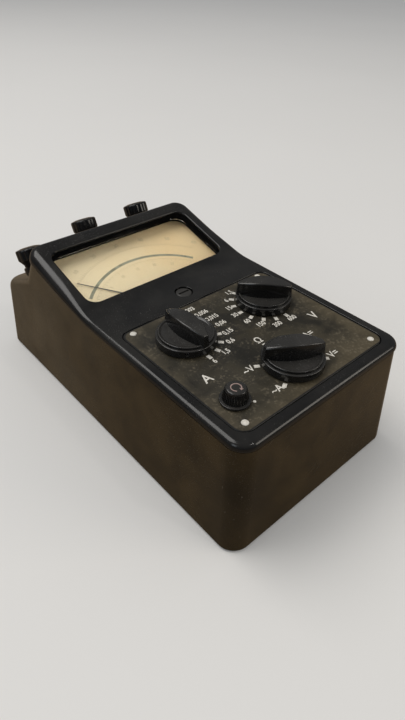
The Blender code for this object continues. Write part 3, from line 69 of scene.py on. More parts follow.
FOOT_STAND = case_low.z
SEAT_HEIGHT = 0.0613
CASE_LEAN = 0.0042
FOOT_LEAN = CASE_LEAN * FOOT_STAND / SEAT_HEIGHT
CASE_WIDTH = case_high.x - case_low.x + 2 * FOOT_LEAN
CASE_LENGTH = 2 * (case_high.y + FOOT_LEAN)
CASE_WALL = 0.0032
CASE_CORNER = 0.0093
CASE_FOOT_ROUND = 0.0005
LEDGE_HEIGHT = 0.057
LEDGE_ANGLE = math.radians(24.8)
LEDGE_WALL = 0.003
SHOULDER_ROUND = 0.006

RIM_WIDTH = cover_high.x - cover_low.x
RIM_FRONT = cover_low.y
RIM_CORNER = 0.0088
RIM_ROUND = 0.003
RIM_CHAMFER = 0.0006
SEAT_CLIMB = 0.001
PANEL_HEIGHT = 0.0655
HEAD_START = 0.112
HEAD_LENGTH = 0.056
HEAD_ANGLE = math.radians(15.5)
HEAD_SEAT_CLIMB = 0.0115
HEAD_ROUND = 0.0055
HEAD_VALLEY = 0.006
HEAD_BLEND = 0.03
BACK_LEAN = math.radians(27.3)

HEAD_Y = RIM_FRONT + HEAD_START
HEAD_TOP_Y = HEAD_Y + HEAD_LENGTH
HEAD_TOP_Z = PANEL_HEIGHT + HEAD_LENGTH * math.tan(HEAD_ANGLE)
TOP_Z = HEAD_TOP_Z + OVERRUN
PANEL_TOP = panel_high.z
print("head rises to", round(HEAD_TOP_Z * 1000, 1), "mm")

# %% [markdown]
# ## Camera, floor and light
#
# The camera stands where the photograph was taken: its place and its turn were worked out from the
# corners of the instrument. A pale floor carries the shadow, and soft panels of light give the long
# reflections that show how round each moulded edge is.

# %% Camera
FRAME_LONG_SIDE = 720
FOCAL_PIXELS = 514.2856
CAMERA_PLACE = Vector((-0.150865, -0.184179, 0.213853))
CAMERA_YAW = 0.7422478
CAMERA_PITCH = 0.6936234
CAMERA_ROLL = 0.0319154
SENSOR = 36


def camera_turn(yaw, pitch, roll):
    """The camera's axes as the columns of a matrix."""
    ahead = Vector((math.sin(yaw) * math.cos(pitch), math.cos(yaw) * math.cos(pitch), -math.sin(pitch)))
    level = Vector((math.cos(yaw), -math.sin(yaw), 0))
    upright = level.cross(ahead)
    right = level * math.cos(roll) + upright * math.sin(roll)
    up = upright * math.cos(roll) - level * math.sin(roll)
    return Matrix((right, up, -ahead)).transposed().to_4x4()


camera_data = bpy.data.cameras.new("camera")
camera_data.sensor_width = SENSOR
camera_data.lens = FOCAL_PIXELS * SENSOR / FRAME_LONG_SIDE
camera_data.clip_start = 0.01
camera = bpy.data.objects.new("camera", camera_data)
camera.matrix_world = Matrix.Translation(CAMERA_PLACE) @ camera_turn(CAMERA_YAW, CAMERA_PITCH, CAMERA_ROLL)
bpy.context.scene.collection.objects.link(camera)
bpy.context.scene.camera = camera
bpy.context.scene.view_settings.view_transform = "Standard"
print("lens", round(camera_data.lens, 2), "mm")

# %% [markdown]
# ## Short calls for nodes
#
# A node is added, set and wired in one call, so that a material reads like a recipe. A value goes
# into its socket, and a socket is linked.

# %% Node helpers


def wire(tree, kind, inputs=None, **settings):
    """Add a node, set its options, and give each named input a value or a link."""
    node = tree.nodes.new(kind)
    for name, value in settings.items():
        setattr(node, name, value)
    for name, value in (inputs or {}).items():
        socket = node.inputs[name]
        if isinstance(value, bpy.types.NodeSocket):
            tree.links.new(value, socket)
        else:
            socket.default_value = value
    return node


def sums(tree, operation, first, second=0.0):
    return wire(tree, "ShaderNodeMath", {0: first, 1: second}, operation=operation).outputs[0]


def ramp(tree, value, low, high, start=0.0, end=1.0):
    """Stretch a value between two limits, softly, and hold it there."""
    inputs = {"Value": value, "From Min": low, "From Max": high, "To Min": start, "To Max": end}
    return wire(tree, "ShaderNodeMapRange", inputs, interpolation_type="SMOOTHSTEP").outputs[0]


def blend_colours(tree, share, first, second):
    """Mix two colours; either may be a plain (r, g, b)."""
    ends = [value if isinstance(value, bpy.types.NodeSocket) else (*value, 1.0) for value in (first, second)]
    node = wire(tree, "ShaderNodeMix", {0: share, 6: ends[0], 7: ends[1]}, data_type="RGBA")
    return node.outputs[2]


def noise(tree, place, scale, detail=3.0, roughness=0.55, distortion=0.0):
    inputs = {
        "Vector": place, "Scale": scale, "Detail": detail, "Roughness": roughness, "Distortion": distortion}
    return wire(tree, "ShaderNodeTexNoise", inputs).outputs[0]


def stretched(tree, place, scale, turn=(0, 0, 0)):
    """The same place, turned and stretched, for streaks and grain."""
    return wire(tree, "ShaderNodeMapping", {"Vector": place, "Scale": scale, "Rotation": turn}).outputs[0]


def group_tree(name, inputs, outputs):
    """A new shader group with its sockets, and its two end nodes."""
    tree = bpy.data.node_groups.new(name, "ShaderNodeTree")
    for label, kind, value in inputs:
        socket = tree.interface.new_socket(label, in_out="INPUT", socket_type=kind)
        socket.default_value = value
    for label, kind in outputs:
        tree.interface.new_socket(label, in_out="OUTPUT", socket_type=kind)
    return tree, tree.nodes.new("NodeGroupInput"), tree.nodes.new("NodeGroupOutput")


def close_group(tree, end, results):
    for label, socket in results.items():
        tree.links.new(socket, end.inputs[label])
    return tree


print("node helpers ready")

# %% [markdown]
# ## Floor and backdrop
#
# One large sheet is enough, because the camera looks down on the table. Its colour stays pale to the camera,
# but glossy rays see it dark brown, a painted reflection of a wooden table, and the world round it gives an
# even grey-white sky for the gloss to mirror.

# %% Floor and light
FLOOR_REACH = 6.0
FLOOR_COLOUR = (0.72, 0.70, 0.67)
WORLD_COLOUR = (0.93, 0.96, 1.0, 1.0)
WORLD_STRENGTH = 0.5
MIRRORED_WORLD = 0.12
MIRRORED_FLOOR = (0.26, 0.19, 0.12)

floor_mesh = bpy.data.meshes.new("floor")
floor_mesh.from_pydata(
    [(x * FLOOR_REACH, y * FLOOR_REACH, 0) for x, y in ((-1, -1), (1, -1), (1, 1), (-1, 1))], [],
    [(0, 1, 2, 3)])
floor = bpy.data.objects.new("floor", floor_mesh)
bpy.context.scene.collection.objects.link(floor)

floor_material = bpy.data.materials.new("pale_floor")
floor_material.use_nodes = True
floor_tree = floor_material.node_tree
floor_place = wire(floor_tree, "ShaderNodeTexCoord").outputs["Object"]
floor_shade = noise(floor_tree, floor_place, 3.0, 2.0)
floor_shader = floor_tree.nodes["Principled BSDF"]
floor_shader.inputs["Roughness"].default_value = 0.7
floor_tone = blend_colours(floor_tree, floor_shade, FLOOR_COLOUR, [value * 1.04 for value in FLOOR_COLOUR])
# Glossy rays see the floor dark brown instead of pale: painted reflection of a wooden table.
floor_path = wire(floor_tree, "ShaderNodeLightPath")
floor_tree.links.new(
    blend_colours(floor_tree, floor_path.outputs["Is Glossy Ray"], floor_tone, MIRRORED_FLOOR),
    floor_shader.inputs["Base Color"])
floor_mesh.materials.append(floor_material)

world = bpy.data.worlds.new("studio")
bpy.context.scene.world = world
world.use_nodes = True
world.node_tree.nodes["Background"].inputs["Color"].default_value = WORLD_COLOUR
world_path = wire(world.node_tree, "ShaderNodeLightPath")
dimmed = sums(
    world.node_tree, "MULTIPLY", world_path.outputs["Is Glossy Ray"], MIRRORED_WORLD - WORLD_STRENGTH)
world.node_tree.links.new(
    sums(world.node_tree, "ADD", dimmed, WORLD_STRENGTH),
    world.node_tree.nodes["Background"].inputs["Strength"])


def soft_panel(name, place, size, power, colour):
    """A square panel of light that faces the instrument."""
    data = bpy.data.lights.new(name, "AREA")
    data.shape = "RECTANGLE"
    data.size, data.size_y = size
    data.energy = power
    data.color = colour
    lamp = bpy.data.objects.new(name, data)
    lamp.location = place
    lamp.rotation_mode = "QUATERNION"
    lamp.rotation_quaternion = (Vector((0, 0, 0.04)) - Vector(place)).to_track_quat("-Z", "Y")
    bpy.context.scene.collection.objects.link(lamp)


soft_panel("ceiling", (-0.5, 0.9, 1.9), (1.6, 1.2), 22, (1.0, 0.98, 0.95))
soft_panel("window", (-1.7, -0.2, 1.1), (0.7, 0.7), 3.4, (0.85, 0.93, 1.0))
soft_panel("room", (1.1, -1.4, 0.8), (0.9, 0.7), 6.5, (1.0, 0.93, 0.82))
soft_panel("lamp", (0.15, -0.55, 0.75), (0.05, 0.05), 0.35, (1.0, 0.97, 0.92))
print("light set")

# %% [markdown]
# ## Wear and dirt, once for all materials
#
# Everything on a bench instrument is handled: it gets cloudy smears, fine scratches in all
# directions, and dust specks on what faces up. One group makes these as masks, and each material
# chooses how strongly it shows them.

# %% Group: handled surface


def make_handled_group():
    tree, start, end = group_tree(
        "Handled_Surface",
        (("Cloud Scale", "NodeSocketFloat", 40.0), ("Scratch Length", "NodeSocketFloat", 55.0),
         ("Speck Scale", "NodeSocketFloat", 900.0)),
        (("Cloud", "NodeSocketFloat"), ("Scratches", "NodeSocketFloat"), ("Specks", "NodeSocketFloat"),
         ("Grain", "NodeSocketFloat"), ("Upward", "NodeSocketFloat")))
    place = wire(tree, "ShaderNodeTexCoord").outputs["Object"]
    cloud = noise(tree, place, start.outputs["Cloud Scale"], 4.0, 0.6, 0.4)
    masks = []
    for number, turn in enumerate(((0.3, 0.2, 0.5), (0.9, 0.4, 1.9), (0.2, 1.1, 2.7))):
        length = start.outputs["Scratch Length"]
        across = sums(tree, "MULTIPLY", length, 34.0 + 9 * number)
        scale = wire(tree, "ShaderNodeCombineXYZ", {"X": across, "Y": length, "Z": across}).outputs[0]
        turned_place = wire(tree, "ShaderNodeMapping", {"Vector": place, "Rotation": turn}).outputs[0]
        streaks = wire(tree, "ShaderNodeVectorMath", {0: turned_place, 1: scale}, operation="MULTIPLY")
        masks.append(ramp(tree, noise(tree, streaks.outputs[0], 1.0, 1.0, 0.4), 0.715, 0.74))
    lines = sums(tree, "MAXIMUM", sums(tree, "MAXIMUM", masks[0], masks[1]), masks[2])
    patches = ramp(tree, noise(tree, place, 23.0, 2.0), 0.42, 0.62)
    scratches = sums(tree, "MULTIPLY", lines, patches)
    cells = wire(
        tree, "ShaderNodeTexVoronoi",
        {"Vector": place, "Scale": start.outputs["Speck Scale"], "Randomness": 1.0})
    dots = ramp(tree, cells.outputs["Distance"], 0.24, 0.12)
    chosen = wire(tree, "ShaderNodeSeparateColor", {0: cells.outputs["Color"]}).outputs[0]
    specks = sums(tree, "MULTIPLY", dots, ramp(tree, chosen, 0.9, 0.97))
    grain = noise(tree, place, 2600.0, 2.0)
    facing = wire(tree, "ShaderNodeNewGeometry").outputs["Normal"]
    upward = ramp(tree, wire(tree, "ShaderNodeSeparateXYZ", {0: facing}).outputs[2], 0.35, 0.9)
    return close_group(tree, end, {
        "Cloud": cloud, "Scratches": scratches, "Specks": specks, "Grain": grain, "Upward": upward})


HANDLED = make_handled_group()
print("group", HANDLED.name, "has", len(HANDLED.nodes), "nodes")

# %% [markdown]
# ## Materials
#
# The moulding is black phenolic: glossy, slightly brown where light goes in, dulled where hands and
# dust have been. The case is the same stuff in a browner batch, with flow marks in it. Metals get
# fine streaks, the panel its worn paint, and the scale its yellowed card.

# %% Material helpers


def new_material(name):
    material = bpy.data.materials.new(name)
    material.use_nodes = True
    tree = material.node_tree
    return material, tree, tree.nodes["Principled BSDF"]


def handled(tree, **values):
    """Place the shared group with its own values."""
    node = tree.nodes.new("ShaderNodeGroup")
    node.node_tree = HANDLED
    for label, value in values.items():
        node.inputs[label.replace("_", " ")].default_value = value
    return node.outputs


def rough_bump(tree, shader, height, distance, strength=1.0):
    """Raise the surface by a small height, in metres."""
    bump = wire(tree, "ShaderNodeBump", {"Height": height, "Distance": distance, "Strength": strength})
    tree.links.new(bump.outputs[0], shader.inputs["Normal"])


def moulded(name, deep, warm, gloss, dull, scratch_colour, scratch=0.6, dust=0.12, cloud_scale=38.0,
            shine=0.35):
    """Phenolic moulding: two shades, a varying gloss, scratches, and dust on top faces."""
    material, tree, shader = new_material(name)
    shader.inputs["Specular IOR Level"].default_value = shine
    wear = handled(tree, Cloud_Scale=cloud_scale)
    base = blend_colours(tree, ramp(tree, wear["Cloud"], 0.3, 0.7), deep, warm)
    scratched = blend_colours(
        tree, sums(tree, "MULTIPLY", wear["Scratches"], scratch), base, scratch_colour)
    on_top = sums(tree, "MULTIPLY", wear["Upward"], dust)
    film = sums(tree, "MULTIPLY", on_top, wear["Cloud"])
    dusty = sums(tree, "ADD", film, sums(tree, "MULTIPLY", wear["Specks"], on_top))
    tree.links.new(blend_colours(tree, dusty, scratched, (0.3, 0.28, 0.25)), shader.inputs["Base Color"])
    gloss_map = ramp(tree, wear["Cloud"], 0.25, 0.75, gloss, dull)
    roughness = sums(tree, "ADD", gloss_map, sums(tree, "MULTIPLY", wear["Scratches"], 0.25))
    roughness = sums(tree, "ADD", roughness, sums(tree, "MULTIPLY", wear["Upward"], dust * 0.5))
    tree.links.new(roughness, shader.inputs["Roughness"])
    height = sums(tree, "SUBTRACT", sums(tree, "MULTIPLY", wear["Grain"], 0.25), wear["Scratches"])
    rough_bump(tree, shader, height, 0.00002, 0.6)
    return material


def streaked_metal(name, light, dark, gloss, dull, streak=(900, 40, 900)):
    """Drawn or turned metal with fine streaks and a little tarnish."""
    material, tree, shader = new_material(name)
    wear = handled(tree, Cloud_Scale=90.0)
    place = wire(tree, "ShaderNodeTexCoord").outputs["Object"]
    streaks = noise(tree, stretched(tree, place, streak), 1.0, 3.0)
    tarnish = sums(tree, "MULTIPLY", wear["Cloud"], streaks)
    tree.links.new(
        blend_colours(tree, ramp(tree, tarnish, 0.15, 0.45), dark, light), shader.inputs["Base Color"])
    shader.inputs["Metallic"].default_value = 1.0
    tree.links.new(ramp(tree, streaks, 0.3, 0.7, gloss, dull), shader.inputs["Roughness"])
    rough_bump(tree, shader, streaks, 0.00001, 0.5)
    return material


def matt(name, light, dark, scale, rough, bump=0.00002):
    """A dull surface with a fine mottle, such as rubber, laminate or ink."""
    material, tree, shader = new_material(name)
    wear = handled(tree, Cloud_Scale=scale)
    mottle = sums(
        tree, "ADD", sums(tree, "MULTIPLY", wear["Cloud"], 0.7), sums(tree, "MULTIPLY", wear["Grain"], 0.3))
    tree.links.new(
        blend_colours(tree, ramp(tree, mottle, 0.3, 0.7), dark, light), shader.inputs["Base Color"])
    tree.links.new(
        ramp(tree, wear["Cloud"], 0.2, 0.8, rough - 0.08, rough + 0.08), shader.inputs["Roughness"])
    rough_bump(tree, shader, wear["Grain"], bump)
    return material


print("material helpers ready")

# %% [markdown]
# Each finish is one call of a helper: two shades, the range of its gloss, and how strongly the
# scratches and the dust show. The lower and the upper shade differ little, as old mouldings do.

# %% Plain finishes
black_moulding = moulded(
    "black_moulding", (0.0034, 0.0036, 0.0040), (0.0060, 0.0057, 0.0054), 0.09, 0.2,
    (0.045, 0.043, 0.04), 0.4, 0.08, shine=0.4)
knob_moulding = moulded(
    "knob_moulding", (0.0040, 0.0040, 0.0041), (0.0068, 0.0065, 0.0062), 0.09, 0.2,
    (0.05, 0.05, 0.05), 0.4, 0.16, shine=0.5)
brown_moulding = moulded(
    "brown_moulding", (0.0150, 0.0097, 0.0040), (0.0360, 0.0232, 0.0092), 0.11, 0.24,
    (0.13, 0.11, 0.08), 0.3, 0.06, shine=0.25)
adjuster_moulding = moulded(
    "adjuster_moulding", (0.01, 0.0095, 0.009), (0.016, 0.015, 0.0135), 0.3, 0.42, (0.07, 0.07, 0.07), 0.5,
    0.16)
plain_steel = streaked_metal("plain_steel", (0.55, 0.55, 0.56), (0.32, 0.32, 0.33), 0.22, 0.42)
dull_brass = streaked_metal("dull_brass", (0.62, 0.46, 0.2), (0.36, 0.25, 0.11), 0.22, 0.42)
winding_copper = streaked_metal(
    "winding_copper", (0.6, 0.27, 0.13), (0.34, 0.13, 0.06), 0.25, 0.4, (60, 60, 5200))
soft_iron = streaked_metal("soft_iron", (0.2, 0.2, 0.21), (0.1, 0.1, 0.105), 0.35, 0.55)
plain_aluminium = streaked_metal("plain_aluminium", (0.68, 0.68, 0.7), (0.5, 0.5, 0.52), 0.25, 0.42)
spring_bronze = streaked_metal("spring_bronze", (0.56, 0.37, 0.2), (0.4, 0.24, 0.12), 0.2, 0.35)
moulded_rubber = matt("moulded_rubber", (0.03, 0.03, 0.03), (0.016, 0.016, 0.016), 120.0, 0.8, 0.00006)
paper_laminate = matt("paper_laminate", (0.34, 0.2, 0.095), (0.22, 0.12, 0.05), 260.0, 0.5)
pointer_paint = matt("pointer_paint", (0.11, 0.105, 0.095), (0.07, 0.066, 0.06), 300.0, 0.5)
cell_jacket = matt("cell_jacket", (0.1, 0.17, 0.3), (0.06, 0.11, 0.22), 90.0, 0.4)
white_print = matt("white_print", (0.78, 0.74, 0.66), (0.52, 0.48, 0.41), 700.0, 0.55)
warm_print = matt("warm_print", (0.72, 0.6, 0.48), (0.5, 0.38, 0.28), 700.0, 0.55)
scale_ink = matt("scale_ink", (0.075, 0.08, 0.06), (0.045, 0.05, 0.036), 500.0, 0.55)
pale_ink = matt("pale_ink", (0.50, 0.41, 0.26), (0.42, 0.33, 0.2), 500.0, 0.6)
pink_ink = matt("pink_ink", (0.34, 0.24, 0.21), (0.24, 0.17, 0.15), 500.0, 0.6)
mirror_band = matt("mirror_band", (0.30, 0.30, 0.22), (0.22, 0.215, 0.155), 220.0, 0.3)
print(len(bpy.data.materials), "materials")

# %% [markdown]
# ## The panel's paint, the scale's card and the glass
#
# The panel is dark olive paint that has turned brown and thin towards its edges and corners, so its
# wear follows the distance to the edge. The scale is ivory card that has yellowed unevenly. The
# glass lets shadow rays through, because a lamp behind a pane would otherwise leave the dial dark.

# %% Panel, scale and glass


def edge_distance(tree, place, low, high):
    """How far a point lies inside a rectangle, along X and Y, whichever is less."""
    parts = wire(tree, "ShaderNodeSeparateXYZ", {0: place})
    ways = []
    for axis in (0, 1):
        middle, half = (low[axis] + high[axis]) / 2, (high[axis] - low[axis]) / 2
        offset = sums(tree, "ABSOLUTE", sums(tree, "SUBTRACT", parts.outputs[axis], middle))
        ways.append(sums(tree, "SUBTRACT", half, offset))
    return sums(tree, "MINIMUM", ways[0], ways[1])


def dull_window(material, shine, reach):
    """Take the shine off the walls below the head's sloped face, inside the window."""
    tree = material.node_tree
    shader = tree.nodes["Principled BSDF"]
    place = wire(tree, "ShaderNodeTexCoord").outputs["Object"]
    offset = wire(
        tree, "ShaderNodeVectorMath", {0: place, 1: (0, HEAD_Y, PANEL_HEIGHT)}, operation="SUBTRACT")
    slope, rise = math.cos(HEAD_ANGLE), math.sin(HEAD_ANGLE)
    ways = [
        wire(tree, "ShaderNodeVectorMath", {0: offset.outputs[0], 1: way}, operation="DOT_PRODUCT")
        for way in ((1, 0, 0), (0, slope, rise), (0, rise, -slope))]
    side, along, depth = [way.outputs["Value"] for way in ways]
    inside = sums(
        tree, "MULTIPLY", ramp(tree, depth, 0.0005, 0.0014), ramp(tree, sums(tree, "ABSOLUTE", side), *reach))
    inside = sums(tree, "MULTIPLY", inside, ramp(tree, along, 0.0525, 0.0519))
    inside = sums(tree, "MULTIPLY", inside, ramp(tree, along, 0.003, 0.005))
    dulled = sums(tree, "MULTIPLY", sums(tree, "SUBTRACT", 1.0, inside), shine)
    tree.links.new(dulled, shader.inputs["Specular IOR Level"])


def wear_and_painted_light_on_case(material):
    """Flake the walls at the front corner and darken them there with painted shade; lighten them towards the
    rear with a painted reflection of the room.
    """
    tree = material.node_tree
    shader = tree.nodes["Principled BSDF"]
    place = wire(tree, "ShaderNodeTexCoord").outputs["Object"]
    parts = wire(tree, "ShaderNodeSeparateXYZ", {0: place}).outputs
    # A lighter milky haze towards the rear of the side walls: painted reflection of the room.
    clouds = noise(tree, place, 22.0, 3.0, 0.55, 0.8)
    rear_painted_reflection = sums(
        tree, "MULTIPLY", ramp(tree, parts[1], -0.05, 0.085), ramp(tree, clouds, 0.3, 0.65, 0.12, 0.42))
    colour = shader.inputs["Base Color"].links[0].from_socket
    colour = blend_colours(tree, rear_painted_reflection, colour, (0.105, 0.082, 0.052))
    # Darker towards the front-left corner: painted shade. The same mask places the light scuffs there.
    corner = wire(
        tree, "ShaderNodeVectorMath", {0: place, 1: (case_low.x, case_low.y, 0.03)}, operation="DISTANCE")
    corner_painted_shade_and_scuffs = ramp(tree, corner.outputs["Value"], 0.036, 0.012, 0.0, 0.45)
    colour = blend_colours(tree, corner_painted_shade_and_scuffs, colour, (0.0090, 0.0072, 0.0052))
    flakes = ramp(
        tree, noise(tree, stretched(tree, place, (1300, 1300, 420)), 1.0, 2.0, 0.6), 0.69, 0.76, 0.0, 0.7)
    colour = blend_colours(tree, sums(tree, "MULTIPLY", corner_painted_shade_and_scuffs, flakes), colour, (0.2, 0.18, 0.15))
    tree.links.new(colour, shader.inputs["Base Color"])


def rounded_edge(tree, place, low, high, corner):
    """The distance to the edge of a rounded rectangle, no more than the corner's radius."""
    parts = wire(tree, "ShaderNodeSeparateXYZ", {0: place})
    squares = []
    for axis in (0, 1):
        middle, half = (low[axis] + high[axis]) / 2, (high[axis] - low[axis]) / 2
        offset = sums(tree, "ABSOLUTE", sums(tree, "SUBTRACT", parts.outputs[axis], middle))
        past = sums(tree, "MAXIMUM", sums(tree, "SUBTRACT", offset, half - corner), 0.0)
        squares.append(sums(tree, "MULTIPLY", past, past))
    return sums(tree, "SUBTRACT", corner, sums(tree, "SQRT", sums(tree, "ADD", *squares)))


def make_panel_paint():
    material, tree, shader = new_material("panel_paint")
    wear = handled(tree, Cloud_Scale=46.0, Speck_Scale=1500.0)
    place = wire(tree, "ShaderNodeTexCoord").outputs["Object"]
    distance = edge_distance(tree, place, panel_low, panel_high)
    rim = sums(tree, "MULTIPLY", ramp(tree, distance, 0.012, 0.0), 0.45)
    parts = wire(tree, "ShaderNodeSeparateXYZ", {0: place})
    to_corner = ramp(tree, sums(tree, "SUBTRACT", parts.outputs[0], parts.outputs[1]), 0.03, 0.16, 0.0, 0.5)
    rim = sums(tree, "ADD", rim, to_corner)
    blotches = noise(tree, place, 75.0, 5.0, 0.65, 0.6)
    worn = ramp(tree, sums(tree, "MULTIPLY", sums(tree, "ADD", rim, 0.32), blotches), 0.16, 0.6)
    olive = blend_colours(
        tree, ramp(tree, wear["Cloud"], 0.36, 0.64), (0.0150, 0.0128, 0.0082), (0.0400, 0.0330, 0.0190))
    paint = blend_colours(tree, worn, olive, (0.075, 0.058, 0.031))
    rubbed = ramp(tree, noise(tree, place, 700.0, 3.0, 0.6), 0.53, 0.63)
    rubbed = sums(tree, "MULTIPLY", rubbed, ramp(tree, blotches, 0.42, 0.58, 0.0, 0.6))
    paint = blend_colours(tree, rubbed, paint, (0.13, 0.105, 0.065))
    paint = blend_colours(tree, sums(tree, "MULTIPLY", wear["Specks"], 0.7), paint, (0.2, 0.17, 0.12))
    # A near-black line along the plate's edge: painted shadow of the gap between plate and cover.
    outline = rounded_edge(tree, place, panel_low, panel_high, 0.0055)
    paint = blend_colours(tree, ramp(tree, outline, 0.0011, 0.0005), paint, (0.006, 0.0055, 0.005))
    scratched = blend_colours(
        tree, sums(tree, "MULTIPLY", wear["Scratches"], 0.25), paint, (0.1, 0.085, 0.06))
    tree.links.new(scratched, shader.inputs["Base Color"])
    tree.links.new(ramp(tree, blotches, 0.3, 0.7, 0.42, 0.6), shader.inputs["Roughness"])
    rough_bump(tree, shader, sums(tree, "ADD", wear["Grain"], blotches), 0.00003, 0.7)
    return material


def make_scale_card():
    material, tree, shader = new_material("scale_card")
    wear = handled(tree, Cloud_Scale=26.0, Speck_Scale=700.0)
    place = wire(tree, "ShaderNodeTexCoord").outputs["Object"]
    parts = wire(tree, "ShaderNodeSeparateXYZ", {0: place})
    to_right = ramp(tree, parts.outputs[0], -0.045, 0.05)
    aged = sums(
        tree, "ADD", sums(tree, "MULTIPLY", to_right, 0.55), sums(tree, "MULTIPLY", wear["Cloud"], 0.6))
    card = blend_colours(tree, ramp(tree, aged, 0.2, 1.0), (0.75, 0.63, 0.42), (0.70, 0.52, 0.29))
    card = blend_colours(tree, sums(tree, "MULTIPLY", wear["Specks"], 0.45), card, (0.4, 0.3, 0.16))
    tree.links.new(card, shader.inputs["Base Color"])
    tree.links.new(ramp(tree, wear["Cloud"], 0.2, 0.8, 0.5, 0.62), shader.inputs["Roughness"])
    rough_bump(tree, shader, wear["Grain"], 0.00001, 0.5)
    return material


def make_window_glass():
    material, tree, shader = new_material("window_pane")
    wear = handled(tree, Cloud_Scale=30.0)
    shader.inputs["Base Color"].default_value = (0.97, 0.985, 0.97, 1)
    shader.inputs["Transmission Weight"].default_value = 1.0
    shader.inputs["IOR"].default_value = 1.5
    tree.links.new(ramp(tree, wear["Cloud"], 0.35, 0.8, 0.0, 0.05), shader.inputs["Roughness"])
    path = wire(tree, "ShaderNodeLightPath")
    clear = wire(tree, "ShaderNodeBsdfTransparent")
    mix = wire(
        tree, "ShaderNodeMixShader",
        {0: path.outputs["Is Shadow Ray"], 1: shader.outputs[0], 2: clear.outputs[0]})
    tree.links.new(mix.outputs[0], tree.nodes["Material Output"].inputs["Surface"])
    return material


dull_window(black_moulding, 0.4, (0.0490, 0.0484))
wear_and_painted_light_on_case(brown_moulding)
panel_paint = make_panel_paint()
scale_card = make_scale_card()
window_pane = make_window_glass()
print("panel, scale and glass ready")

# %% [markdown]
# ## Helpers for shapes
#
# Each visible shell is built once as a stack of outlines, or as a spun profile, and cut with exact
# Booleans. A piece keeps its place in its mesh, so that patterns find it at the origin.

# %% Shape helpers


def moved(shape, matrix):
    bmesh.ops.transform(shape, matrix=matrix, verts=shape.verts)
    return shape


def shift(x, y, z):
    return Matrix.Translation((x, y, z))


def spin(angle):
    return Matrix.Rotation(angle, 4, "Z")


def gather(shapes):
    """Put several shapes into one."""
    whole = bmesh.new()
    for shape in shapes:
        mesh = bpy.data.meshes.new("shape")
        shape.to_mesh(mesh)
        shape.free()
        whole.from_mesh(mesh)
        bpy.data.meshes.remove(mesh)
    return whole


def turned(profile, sides, closed=False):
    """Spin a profile of (radius, height) about Z; a closed profile makes a ring."""
    shape = bmesh.new()
    points = [shape.verts.new((radius, 0, height)) for radius, height in profile]
    edges = [shape.edges.new(pair) for pair in zip(points, points[1:])]
    if closed:
        edges.append(shape.edges.new((points[-1], points[0])))
    bmesh.ops.spin(
        shape, geom=points + edges, axis=(0, 0, 1), cent=(0, 0, 0), steps=sides, angle=FULL_TURN,
        use_merge=True)
    bmesh.ops.remove_doubles(shape, verts=shape.verts, dist=1e-7)
    return shape


def rod(radius, low, high, sides=48):
    return turned(((0, low), (radius, low), (radius, high), (0, high)), sides)


def prism(outline, low, high):
    shape = bmesh.new()
    face = shape.faces.new([shape.verts.new((x, y, low)) for x, y in outline])
    raised = bmesh.ops.extrude_face_region(shape, geom=[face])
    tops = [item for item in raised["geom"] if isinstance(item, bmesh.types.BMVert)]
    bmesh.ops.translate(shape, verts=tops, vec=(0, 0, high - low))
    return shape


def block(x, y, z):
    return prism(((x[0], y[0]), (x[1], y[0]), (x[1], y[1]), (x[0], y[1])), *z)


def rounded_corners(half_width, front, rear, front_round, rear_round, steps):
    """The right half of a rounded rectangle as (x, y, outward x, outward y), front to rear."""
    points = []
    corners = ((-QUARTER, front_round, front + front_round), (0, rear_round, rear - rear_round))
    for start, radius, y in corners:
        for step in range(steps + 1):
            angle = start + QUARTER * step / steps
            x_way, y_way = math.cos(angle), math.sin(angle)
            points.append((half_width - radius + radius * x_way, y + radius * y_way, x_way, y_way))
    return points


def mirrored(right_half):
    return right_half + [(-point[0], *point[1:]) for point in reversed(right_half)]


def rounded_rectangle(width, front, rear, front_round, rear_round, steps=12):
    half = rounded_corners(width / 2, front, rear, front_round, rear_round, steps)
    return mirrored([(x, y) for x, y, _, _ in half])


def skin(rings):
    """Join rings of points from the lowest to the highest, and close both ends in strips."""
    shape = bmesh.new()
    loops = [[shape.verts.new(point) for point in points] for points in rings]
    count = len(loops[0])
    for low, high in zip(loops, loops[1:]):
        for i in range(count):
            j = (i + 1) % count
            shape.faces.new((low[i], low[j], high[j], high[i]))
    for loop, way in ((loops[0], 1), (loops[-1], -1)):
        for i in range(count // 2 - 1):
            shape.faces.new((loop[i], loop[count - 1 - i], loop[count - 2 - i], loop[i + 1])[::way])
    return shape


def stack(outline_at, levels):
    """A skin of one outline at several (height, spread) levels."""
    return skin([[(x, y, height) for x, y in outline_at(spread)] for height, spread in levels])


def lip_levels(floor, top, spread, radius, steps=6, reach=75):
    """Levels of a cutter that leaves a rounded lip where it breaks through a face."""
    last = math.radians(reach)
    levels = [(floor, spread)]
    for step in range(steps + 1):
        angle = last * step / steps
        levels.append(
            (top + radius * (math.sin(angle) - math.sin(last)), spread + radius * (1 - math.cos(angle))))
    slope = math.tan(last)
    levels.append((top + OVERRUN / 4, levels[-1][1] + OVERRUN / 4 * slope))
    return levels


HEAD_FRAME = shift(0, HEAD_Y, PANEL_HEIGHT) @ Matrix.Rotation(HEAD_ANGLE, 4, "X")
print("shape helpers ready")

# %% [markdown]
# A shape becomes a piece in one call, which rounds its edges, sets its shading, gives it its finish
# and ties it to the body it moves with. Modifiers are applied there, so nothing stays live.

# %% Piece helpers
SMOOTH_ANGLE = math.radians(32)


def tool_object(shape):
    bmesh.ops.recalc_face_normals(shape, faces=shape.faces)
    mesh = bpy.data.meshes.new("tool")
    shape.to_mesh(mesh)
    shape.free()
    item = bpy.data.objects.new("tool", mesh)
    bpy.context.scene.collection.objects.link(item)
    return item


def settle(item):
    """Turn a piece's live modifiers into plain mesh."""
    bpy.context.view_layer.update()
    graph = bpy.context.evaluated_depsgraph_get()
    mesh = bpy.data.meshes.new_from_object(item.evaluated_get(graph))
    item.modifiers.clear()
    item.data = mesh
    return item


